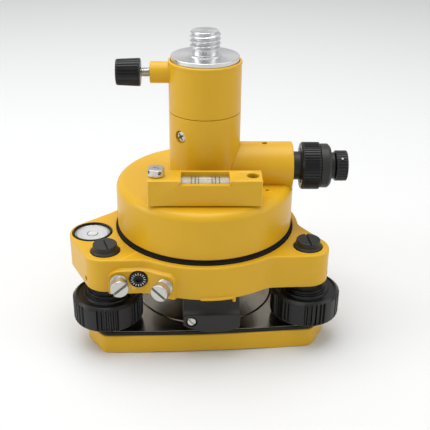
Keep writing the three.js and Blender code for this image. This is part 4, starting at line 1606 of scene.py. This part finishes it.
def make_lower_column():
    """Lower half of the column, saddled over the tube, with sunk holes for its screws."""
    low, seam = lowest("lower_column").z, COLUMN_SEAM
    lower = turned(
        "lower",
        [
            (16.5, low, 0.2),
            (COLUMN_RADIUS, low, 0.4),
            (COLUMN_RADIUS, seam - 0.12, 0.35),
            (16.5, seam - 0.12, 0.2),
        ],
        segments=160,
        closed=True,
    )
    saddle = moved(rod("saddle", 13.6, 6, 30, segments=128), ON_TUBE)
    shape(lower, [saddle])
    for angle in COLUMN_SCREWS.values():
        here = shift(z=COLUMN_SCREW_HEIGHT) @ outward(angle)
        shape(lower, [moved(rod("sink", 3.4, 17.2, 20.85, flare=0.2, segments=64), here)])
        shape(lower, [moved(rod("pass", 1.8, 12, 18, segments=32), here)])
    finish(lower, "column_lower", "carrier", "yellow_paint", MATERIALS["enamel"], "lower_column")


def make_upper_column():
    """Upper half of the column with its rim and the clamp boss."""
    top, seam = highest("upper_column").z, COLUMN_SEAM
    upper = turned(
        "upper",
        [
            (0, 119),
            (16.1, 119, 0.4),
            (16.1, seam + 0.12, 0.2),
            (COLUMN_RADIUS, seam + 0.12, 0.35),
            (COLUMN_RADIUS, 147.6, 0),
            (19.25, 148.4, 0.6),
            (19.2, top - 0.5, 0.5),
            (18.6, top, 0.35),
            (18.0, top, 0.2),
            (18.0, 146.3, 0.2),
            (11.3, 146.3, 0.3),
            (11.3, 125.5, 0.3),
            (0, 125.5),
        ],
        segments=160,
    )
    boss = turned(
        "boss",
        [(0, 13), (5.6, 13), (5.6, 28.5, 0.5), (0, 28.5)],
        segments=96,
    )
    shape(upper, [moved(boss, ON_CLAMP)], "UNION")
    core = rod("core", 11.3, 125.5, 150, segments=96)
    shape(upper, [core])
    shape(upper, [moved(rod("screw_way", 2.9, 5, 30.5, flare=0.3, segments=48), ON_CLAMP)])
    finish(upper, "column_upper", "carrier", "yellow_paint", MATERIALS["enamel"], "upper_column")


def make_column_screws(sizes):
    """Cross-headed screws round the lower column."""
    for side, angle in COLUMN_SCREWS.items():
        here = shift(z=COLUMN_SCREW_HEIGHT) @ outward(angle)
        a = math.radians(angle)
        silver = turned_metal(
            f"column_steel_{side}",
            tuple(sizes.bright),
            (0, 0, COLUMN_SCREW_HEIGHT),
            (0, -math.pi / 2, -a),
            0.2,
            0.35,
        )
        screw = turned(
            "screw",
            [(0, 13), (1.5, 13, 0.2), (1.5, 17.4, 0.1), (2.75, 17.4, 0.2), (2.75, 18.0, 0.4), (0, 18.6)],
            segments=72,
        )
        for turn in (35, 125):
            wing = beveled_box("wing", (-1.9, -0.5, 15.8), (1.9, 0.5, 20), 0.0)
            shape(screw, [moved(wing, spin(turn))])
        node = f"column_screw_{side}"
        finish(moved(screw, here), f"cross_screw_{side}", "carrier", "polished_steel", silver, node)


def make_stud(sizes):
    """Turning spindle: the bright disc in the rim, the neck and the threaded stud."""
    disc, top = 152.0, highest("stud").z
    stud = turned(
        "stud",
        [
            (0, 126),
            (11, 126, 0.5),
            (11, 146.6, 0.3),
            (17.7, 146.6, 0.3),
            (17.7, disc, 0.35),
            (8.4, disc, 0.1),
            (8.4, disc + 0.5, 0.2),
            (6.7, disc + 0.8, 0.3),
            (6.6, 156.0, 0.2),
            (7.9, 156.3, 0.2),
            (7.9, top - 1.1, 0.2),
            (7.0, top, 0.3),
            (0, top),
        ],
        segments=192,
        thread={
            "low": 155.9,
            "high": top + 0.3,
            "pitch": sizes.pitch / MM,
            "depth": sizes.thread_depth / MM,
            "inside": 6.9,
        },
    )
    hole = moved(rod("hole", 1.2, -10, 10, segments=40), shift(z=154.3) @ outward(266))
    shape(stud, [hole])
    finish(stud, "threaded_stud", "stud", "aluminium", MATERIALS["aluminium"], "stud", sharp=38)


def make_clamp():
    """Fluted clamp knob with its screw; the brass shoe stays as the frame has it."""
    knob = turned(
        "knob",
        [
            (2.8, 33.3),
            (7.2, 33.3, 0.6),
            (7.2, 35.0, 0),
            (6.75, 45.0, 0),
            (6.6, 46.0, 0.9),
            (0, 46.0),
            (0, 43.0),
            (2.8, 43.0),
        ],
        segments=288,
        grooves={
            "low": 33.7,
            "high": 45.4,
            "groups": 1,
            "ribs": 26,
            "share": 1.0,
            "width": 0.34,
            "depth": 0.42,
        },
    )
    finish(
        moved(knob, ON_CLAMP), "clamp_grip", "clamp_knob", "black_plastic", MATERIALS["knob"], "clamp_knob"
    )
    screw = turned(
        "screw",
        [(0, 14.9), (2.5, 14.9, 0.4), (2.5, 42.4, 0.3), (0, 42.4)],
        segments=64,
        thread={"low": 15, "high": 41, "pitch": 1.0, "depth": 0.55, "inside": 2.2},
    )
    moved(screw, ON_CLAMP)
    finish(screw, "clamp_spindle", "clamp_knob", "polished_steel", MATERIALS["steel"], "clamp_screw")


LEVEL_Y, VIAL_HEIGHT = middle("level_block").y, middle("level_vial").z
CAPSTAN_PLACE = shift(middle("capstan_screw").x, LEVEL_Y)
PIVOT_PLACE = shift(middle("level_pivot_screw").x, LEVEL_Y)


def make_level_block():
    """Level's yellow block with its window and the holes for its two screws."""
    low, high = lowest("level_block"), highest("level_block")
    block = beveled_box("block", low, high, 0.7)
    bore = moved(rod("bore", 5.5, -20, 20, segments=72), shift(0, LEVEL_Y, VIAL_HEIGHT) @ outward(0))
    shape(block, [bore])
    half = 12.4
    window = beveled_box(
        "window", (-half, low.y - 6, 96.1), (half, LEVEL_Y + 4.3, high.z + 6), 0.4
    )
    shape(block, [window])
    lip = chamfer_wedge("lip", half + 0.5, low.y, 96.1, 0.9)
    shape(block, [lip])
    shape(block, [moved(rod("left", 2.2, low.z - 1, high.z + 1), CAPSTAN_PLACE)])
    sink = rod("sink", 3.1, 94, high.z + 2, flare=0.3, segments=72)
    shape(block, [moved(sink, PIVOT_PLACE)])
    shape(block, [moved(rod("right", 1.9, low.z - 1, 96, segments=40), PIVOT_PLACE)])
    finish(block, "plate_level_block", "carrier", "yellow_paint", MATERIALS["enamel"], "level_block")


def make_level_vial():
    """Level's glass tube with its fluid, graduation lines and bubble."""
    here = shift(0, LEVEL_Y, VIAL_HEIGHT) @ outward(0)
    fluid = turned(
        "fluid", [(0, -18.6), (4.6, -18.6, 0.8), (4.6, 18.6, 0.8), (0, 18.6)], segments=72
    )
    finish(moved(fluid, here), "vial_body", "carrier", "white_enamel", MATERIALS["vial"])
    tube = turned(
        "tube",
        [(0, -19.5), (5.2, -19.5, 1.2), (5.2, 19.5, 1.2), (0, 19.5)],
        segments=96,
    )
    hollow = turned("hollow", [(0, -18.9), (4.7, -18.9), (4.7, 18.9), (0, 18.9)], rounding=0)
    shape(tube, [hollow])
    finish(moved(tube, here), "vial_tube", "carrier", "optical_glass", MATERIALS["cover"], "level_vial")
    marks = [-7.1, -5.1, -3.4, 3.4, 5.1, 7.1]
    lines = new_piece("lines", [(x, LEVEL_Y, VIAL_HEIGHT) for x in marks])
    grow(lines, TREES["rings"], Radius=5.26 * MM, Thickness=0.13 * MM, Material=MATERIALS["line"])
    finish(lines, "vial_lines", "carrier", "black_metal", MATERIALS["line"])
    bubble = turned(
        "bubble", [(0, -4.5), (0.8, -4.1, 0.5), (0.8, 4.1, 0.5), (0, 4.5)], segments=48
    )
    moved(bubble, shift(0, LEVEL_Y - 0.6, VIAL_HEIGHT + 4.3) @ outward(0))
    finish(bubble, "level_bubble", "carrier", "optical_glass", MATERIALS["bubble"])


def make_level_screws():
    """Capstan screw at the level's left end and pivot screw at its right end."""
    low, high = lowest("level_block"), highest("level_block")
    top = highest("capstan_screw").z
    capstan = turned(
        "capstan",
        [
            (0, low.z + 0.6),
            (1.9, low.z + 0.6, 0.2),
            (1.9, high.z + 0.3, 0.1),
            (4.2, high.z + 0.3, 0.3),
            (4.2, top - 0.1, 0.5),
            (3.6, top, 0.2),
            (0, top),
        ],
        segments=96,
    )
    cutters = [
        moved(rod("pin", 0.95, -7, 7, segments=32), shift(z=high.z + 2.6) @ outward(angle))
        for angle in (-62, 28)
    ]
    cutters.append(moved(beveled_box("slot", (-1.8, -0.3, top - 0.7), (1.8, 0.3, top + 1), 0), spin(-28)))
    for cutter in cutters:
        shape(capstan, [cutter])
    moved(capstan, CAPSTAN_PLACE)
    capstan_metal = MATERIALS["capstan"]
    finish(capstan, "capstan_head", "capstan_screw", "aluminium", capstan_metal, "capstan_screw")
    pivot = turned(
        "pivot",
        [(0, 85.2), (1.5, 85.2, 0.2), (1.5, 94.3, 0.1), (2.9, 94.3, 0.2), (2.9, 96.0, 0.5), (0, 96.2)],
        segments=64,
    )
    shape(pivot, [beveled_box("slot", (-4, -0.35, 95.3), (4, 0.35, 98), 0)])
    moved(pivot, PIVOT_PLACE)
    # The pivot screw takes the black cap finish instead of bright steel: painted shade that keeps its hole
    # dark.
    finish(pivot, "pivot_screw", "carrier", "polished_steel", MATERIALS["cap"], "level_pivot_screw")


def chamfer_wedge(name, half, face, height, size):
    """A wedge that bevels the lower lip of a window in an upright face."""
    section = [(face - size, height + size), (face - size, height - size), (face + size, height + size)]
    rows = [[(x, y, z) for y, z in section] for x in (-half, half)]
    return swept(name, rows, closed=False)


def make_barrel():
    """Black eyepiece barrel."""
    barrel = turned(
        "barrel",
        [
            (4.6, 41.0, 0.2),
            (9.2, 41.0, 0.3),
            (9.2, 46.9, 0.2),
            (7.8, 46.9, 0.2),
            (7.7, 51.9, 0.3),
            (9.4, 52.3, 0.2),
            (9.4, 62.5, 0.2),
            (12.1, 62.8, 0.3),
            (12.1, 67.0, 0.5),
            (10.8, 68.4, 0.6),
            (7.4, 68.5, 0.3),
            (7.3, 70.8, 0.3),
            (5.6, 70.8, 0.2),
            (5.6, 74.0, 0.2),
            (4.6, 74.0, 0.2),
        ],
        segments=144,
        closed=True,
    )
    moved(barrel, ON_TUBE)
    finish(barrel, "barrel", "carrier", "black_plastic", MATERIALS["cap"], "eyepiece_barrel")


def make_focus_ring(sizes):
    """Fluted focus ring."""
    grip = turned(
        "grip",
        [
            (9.7, 52.4, 0.2),
            (12.2, 52.4, 0.3),
            (12.95, 53.2, 0.3),
            (12.95, 62.4, 0.35),
            (9.7, 62.4, 0.2),
        ],
        segments=600,
        closed=True,
        grooves={
            "low": 53.2,
            "high": 62.2,
            "groups": 1,
            "ribs": sizes.flutes,
            "share": 1.0,
            "width": 0.32,
            "depth": 0.5,
        },
    )
    moved(grip, ON_TUBE)
    finish(
        grip, "focus_grip", "focus_ring", "black_plastic", MATERIALS["knob"], "focus_ring", sharp=40
    )


def make_eyepiece_ring():
    """Fluted eyepiece ring with its white dot."""
    ring = turned(
        "ring",
        [
            (5.9, 71.1, 0.2),
            (7.9, 71.1, 0.3),
            (8.35, 71.6, 0.2),
            (8.35, 77.8, 0.5),
            (5.6, 77.8, 0.4),
            (4.4, 76.9, 0.3),
            (4.4, 74.4, 0.1),
            (5.9, 74.4, 0.1),
        ],
        segments=320,
        closed=True,
        grooves={
            "low": 71.6,
            "high": 77.5,
            "groups": 1,
            "ribs": 32,
            "share": 1.0,
            "width": 0.33,
            "depth": 0.32,
        },
    )
    moved(ring, ON_TUBE)
    finish(
        ring, "eye_ring", "eyepiece", "black_plastic", MATERIALS["knob"], "eyepiece_ring", sharp=40
    )
    dot = turned("dot", [(0, 8.0), (0.6, 8.0), (0.6, 8.42, 0.12), (0, 8.5)], segments=32)
    moved(dot, shift(74.5, 0, TUBE_HEIGHT) @ Matrix.Rotation(math.radians(41), 4, "X"))
    finish(dot, "index_dot", "eyepiece", "white_enamel", MATERIALS["enamel_white"])


HIDDEN_FINISHES = {
    "brass": ["pivot_bush", "clamp_shoe", *[f"{n}_{s}" for n in ("ball_cup", "screw_bush") for s in SIDES]],
    # The set screws' black is partly their finish and partly painted shade that darkens their holes.
    "anodised": ["focus_lens_cell"] + [f"bush_set_screw_{s}" for s in SIDES],
    "glass": ["plummet_prism", "objective_lens", "reticle", "eye_lens"],
}


def paint_inner_parts():
    """Finishes for the pieces inside that stay as the frame has them."""
    for finish_name, nodes in HIDDEN_FINISHES.items():
        for node in nodes:
            paint_node(node, MATERIALS[finish_name])


def make_stage(stage):
    """Pale floor, soft lights and the camera."""
    scene = bpy.context.scene
    scene.view_settings.view_transform = "Standard"
    mesh = bpy.data.meshes.new("floor")
    size = 3.0
    mesh.from_pydata(
        [(-size, -size, 0), (size, -size, 0), (size, size, 0), (-size, size, 0)], [], [(0, 1, 2, 3)]
    )
    floor = bpy.data.objects.new("floor", mesh)
    scene.collection.objects.link(floor)
    paper = {"Base_Color": (0.72, 0.725, 0.725, 1), "Roughness": 0.9, "Specular_IOR_Level": 0.1}
    mesh.materials.append(new_material("floor_paper", **paper)[0])

    world = bpy.data.worlds.new("studio")
    world.use_nodes = True
    background = world.node_tree.nodes["Background"]
    background.inputs["Color"].default_value = (1, 1, 1, 1)
    background.inputs["Strength"].default_value = stage.ambient
    scene.world = world

    for name, spot, aim, width, power in (
        ("top_light", (-0.1, 0.1, 1.0), (0, 0, 0.08), 0.9, stage.key),
        ("left_light", (-0.85, -0.15, 0.4), (0, 0, 0.09), 0.5, stage.side),
        ("right_light", (0.85, -0.2, 0.5), (0, 0, 0.09), 0.6, stage.side * 0.7),
    ):
        lamp = bpy.data.lights.new(name, "AREA")
        lamp.size = width
        lamp.energy = power
        light = bpy.data.objects.new(name, lamp)
        scene.collection.objects.link(light)
        light.location = spot
        light.rotation_euler = (Vector(aim) - Vector(spot)).to_track_quat("-Z", "Y").to_euler()

    lens = bpy.data.cameras.new("camera")
    lens.lens = stage.lens
    lens.sensor_width = 36
    camera = bpy.data.objects.new("camera", lens)
    scene.collection.objects.link(camera)
    yaw, pitch = stage.yaw, stage.pitch
    ahead = Vector(
        (math.sin(yaw) * math.cos(pitch), math.cos(yaw) * math.cos(pitch), math.sin(pitch))
    )
    across = ahead.cross(Vector((0, 0, 1))).normalized()
    up = across.cross(ahead)
    level = Matrix((across, up, -ahead)).transposed().to_4x4()
    camera.matrix_world = (
        Matrix.Translation(Vector(stage.stand)) @ level @ Matrix.Rotation(stage.roll, 4, "Z")
    )
    scene.camera = camera


# ------------------------------------------------------------------ settings


class StageSettings(bpy.types.PropertyGroup):
    """Camera and light."""

    stand: bpy.props.FloatVectorProperty(
        name="Camera place",
        description="Where the camera stands",
        default=(-0.00403, -0.3878, 0.25587),
        subtype="TRANSLATION",
        unit="LENGTH",
    )
    yaw: bpy.props.FloatProperty(
        name="Yaw", description="Camera turned to the right", default=0.0258, subtype="ANGLE"
    )
    pitch: bpy.props.FloatProperty(
        name="Pitch", description="Camera raised from level", default=-0.4674, subtype="ANGLE"
    )
    roll: bpy.props.FloatProperty(
        name="Roll", description="Camera rolled anticlockwise", default=0.0116, subtype="ANGLE"
    )
    lens: bpy.props.FloatProperty(
        name="Lens", description="Focal length on a 36 mm sensor", default=64.24, subtype="DISTANCE_CAMERA"
    )
    ambient: bpy.props.FloatProperty(
        name="Ambient", description="Brightness of the surroundings", default=0.6
    )
    key: bpy.props.FloatProperty(name="Key", description="Overhead light", default=8.5, unit="POWER")
    side: bpy.props.FloatProperty(name="Side", description="Side lights", default=2.3, unit="POWER")


class PieceSettings(bpy.types.PropertyGroup):
    """Sizes that repeat on the pieces."""

    ribs: bpy.props.IntProperty(
        name="Knob ribs", description="Grooves less one in each group on a foot knob", default=4, min=1
    )
    rib_depth: bpy.props.FloatProperty(
        name="Rib depth", description="Depth of a foot knob's grooves", default=0.0012, unit="LENGTH"
    )
    flutes: bpy.props.IntProperty(
        name="Focus flutes", description="Flutes round the focus ring", default=50, min=8
    )
    pitch: bpy.props.FloatProperty(
        name="Stud pitch", description="Pitch of the stud's thread", default=0.002309, unit="LENGTH"
    )
    thread_depth: bpy.props.FloatProperty(
        name="Thread depth", description="Depth of the stud's thread", default=0.0015, unit="LENGTH"
    )
    seam_round: bpy.props.FloatProperty(
        name="Casting round",
        description="Rounding where the tube meets the drum",
        default=0.0011,
        unit="LENGTH",
    )
    bright: bpy.props.FloatVectorProperty(
        name="Screw heads",
        description="Colour of bright screw heads",
        default=(0.57, 0.56, 0.53),
        subtype="COLOR",
    )


class ColourSettings(bpy.types.PropertyGroup):
    """Colours of the finishes."""

    enamel: bpy.props.FloatVectorProperty(
        name="Enamel", description="Colour of the castings", default=(0.66, 0.378, 0.012), subtype="COLOR"
    )
    plastic: bpy.props.FloatVectorProperty(
        name="Knobs",
        description="Colour of the moulded knobs",
        default=(0.005, 0.005, 0.0052),
        subtype="COLOR",
    )
    steel: bpy.props.FloatVectorProperty(
        name="Steel", description="Colour of bright steel", default=(0.62, 0.61, 0.59), subtype="COLOR"
    )
    aluminium: bpy.props.FloatVectorProperty(
        name="Aluminium",
        description="Colour of turned aluminium",
        default=(0.73, 0.73, 0.74),
        subtype="COLOR",
    )


# ------------------------------------------------------------------ operators


class BaseMaker(bpy.types.Operator):
    """Build the base plate, gasket, spring plate and tripod bush"""

    bl_idname = "tribrach.base"
    bl_label = "Base plate"
    bl_options = {"REGISTER", "UNDO"}

    def execute(self, context):
        make_base_plate()
        make_gasket()
        make_spring_plate()
        make_tripod_bush()
        return {"FINISHED"}


class FootScrewMaker(bpy.types.Operator):
    """Build the three foot screws with their caps"""

    bl_idname = "tribrach.foot_screws"
    bl_label = "Foot screws"
    bl_options = {"REGISTER", "UNDO"}

    def execute(self, context):
        make_foot_screws(context.scene.tribrach_pieces)
        return {"FINISHED"}


class HousingMaker(bpy.types.Operator):
    """Build the cast housing"""

    bl_idname = "tribrach.housing"
    bl_label = "Housing"
    bl_options = {"REGISTER", "UNDO"}

    def execute(self, context):
        make_housing()
        return {"FINISHED"}


class PadScrewMaker(bpy.types.Operator):
    """Build the screws on the front pad"""

    bl_idname = "tribrach.pad_screws"
    bl_label = "Pad screws"
    bl_options = {"REGISTER", "UNDO"}

    def execute(self, context):
        make_pad_screws(context.scene.tribrach_pieces)
        return {"FINISHED"}


class CircularLevelMaker(bpy.types.Operator):
    """Build the circular level"""

    bl_idname = "tribrach.circular_level"
    bl_label = "Circular level"
    bl_options = {"REGISTER", "UNDO"}

    def execute(self, context):
        make_circular_level()
        return {"FINISHED"}


class LeverMaker(bpy.types.Operator):
    """Build the locking lever and its clamp ring"""

    bl_idname = "tribrach.lever"
    bl_label = "Locking lever"
    bl_options = {"REGISTER", "UNDO"}

    def execute(self, context):
        make_lever_block()
        make_lever_lock(context.scene.tribrach_pieces)
        make_clamp_ring()
        return {"FINISHED"}


class FootPlateMaker(bpy.types.Operator):
    """Build the carrier's foot plate"""

    bl_idname = "tribrach.foot_plate"
    bl_label = "Foot plate"
    bl_options = {"REGISTER", "UNDO"}

    def execute(self, context):
        make_foot_plate()
        return {"FINISHED"}


class DrumMaker(bpy.types.Operator):
    """Build the drum and plummet tube"""

    bl_idname = "tribrach.drum"
    bl_label = "Drum"
    bl_options = {"REGISTER", "UNDO"}

    def execute(self, context):
        make_drum(context.scene.tribrach_pieces)
        return {"FINISHED"}


class ColumnMaker(bpy.types.Operator):
    """Build the column and its screws"""

    bl_idname = "tribrach.column"
    bl_label = "Column"
    bl_options = {"REGISTER", "UNDO"}

    def execute(self, context):
        make_lower_column()
        make_upper_column()
        make_column_screws(context.scene.tribrach_pieces)
        return {"FINISHED"}


class StudMaker(bpy.types.Operator):
    """Build the threaded stud"""

    bl_idname = "tribrach.stud"
    bl_label = "Stud"
    bl_options = {"REGISTER", "UNDO"}

    def execute(self, context):
        make_stud(context.scene.tribrach_pieces)
        return {"FINISHED"}


class ClampMaker(bpy.types.Operator):
    """Build the clamp knob and screw"""

    bl_idname = "tribrach.clamp"
    bl_label = "Clamp"
    bl_options = {"REGISTER", "UNDO"}

    def execute(self, context):
        make_clamp()
        return {"FINISHED"}


class PlateLevelMaker(bpy.types.Operator):
    """Build the plate level"""

    bl_idname = "tribrach.plate_level"
    bl_label = "Plate level"
    bl_options = {"REGISTER", "UNDO"}

    def execute(self, context):
        make_level_block()
        make_level_vial()
        make_level_screws()
        return {"FINISHED"}


class EyepieceMaker(bpy.types.Operator):
    """Build the plummet's eyepiece"""

    bl_idname = "tribrach.eyepiece"
    bl_label = "Eyepiece"
    bl_options = {"REGISTER", "UNDO"}

    def execute(self, context):
        make_barrel()
        make_focus_ring(context.scene.tribrach_pieces)
        make_eyepiece_ring()
        return {"FINISHED"}


class InnerPartsPainter(bpy.types.Operator):
    """Give the inner parts their finishes"""

    bl_idname = "tribrach.inner_parts"
    bl_label = "Inner parts"
    bl_options = {"REGISTER", "UNDO"}

    def execute(self, context):
        paint_inner_parts()
        return {"FINISHED"}


class StageMaker(bpy.types.Operator):
    """Build the floor, the lights and the camera"""

    bl_idname = "tribrach.stage"
    bl_label = "Stage"
    bl_options = {"REGISTER", "UNDO"}

    def execute(self, context):
        make_stage(context.scene.tribrach_stage)
        return {"FINISHED"}


MAKERS = (
    BaseMaker,
    FootScrewMaker,
    HousingMaker,
    PadScrewMaker,
    CircularLevelMaker,
    LeverMaker,
    FootPlateMaker,
    DrumMaker,
    ColumnMaker,
    StudMaker,
    ClampMaker,
    PlateLevelMaker,
    EyepieceMaker,
    InnerPartsPainter,
    StageMaker,
)


class LevellingBasePanel(bpy.types.Panel):
    """Sizes, colours and one button for each group of pieces"""

    bl_idname = "VIEW3D_PT_levelling_base"
    bl_label = "Levelling base"
    bl_space_type = "VIEW_3D"
    bl_region_type = "UI"
    bl_category = "Levelling base"

    def draw(self, context):
        """Lists the settings and the operators."""
        for group in (
            context.scene.tribrach_pieces,
            context.scene.tribrach_colours,
            context.scene.tribrach_stage,
        ):
            box = self.layout.box()
            for name in group.__annotations__:
                box.prop(group, name)
        for maker in MAKERS:
            self.layout.operator(maker.bl_idname)


GROUPS = {
    "tribrach_pieces": PieceSettings,
    "tribrach_colours": ColourSettings,
    "tribrach_stage": StageSettings,
}


def register():
    """Registers the settings, operators and panel."""
    for name, group in GROUPS.items():
        bpy.utils.register_class(group)
        setattr(bpy.types.Scene, name, bpy.props.PointerProperty(type=group))
    for maker in MAKERS:
        bpy.utils.register_class(maker)
    bpy.utils.register_class(LevellingBasePanel)


def unregister():
    """Removes what register added."""
    bpy.utils.unregister_class(LevellingBasePanel)
    for maker in reversed(MAKERS):
        bpy.utils.unregister_class(maker)
    for name, group in GROUPS.items():
        delattr(bpy.types.Scene, name)
        bpy.utils.unregister_class(group)


def main():
    """Builds the whole model."""
    register()
    build_trees()
    build_materials(bpy.context.scene.tribrach_colours)
    for maker in MAKERS:
        area, call = maker.bl_idname.split(".")
        getattr(getattr(bpy.ops, area), call)()


if __name__ == "__main__":
    main()
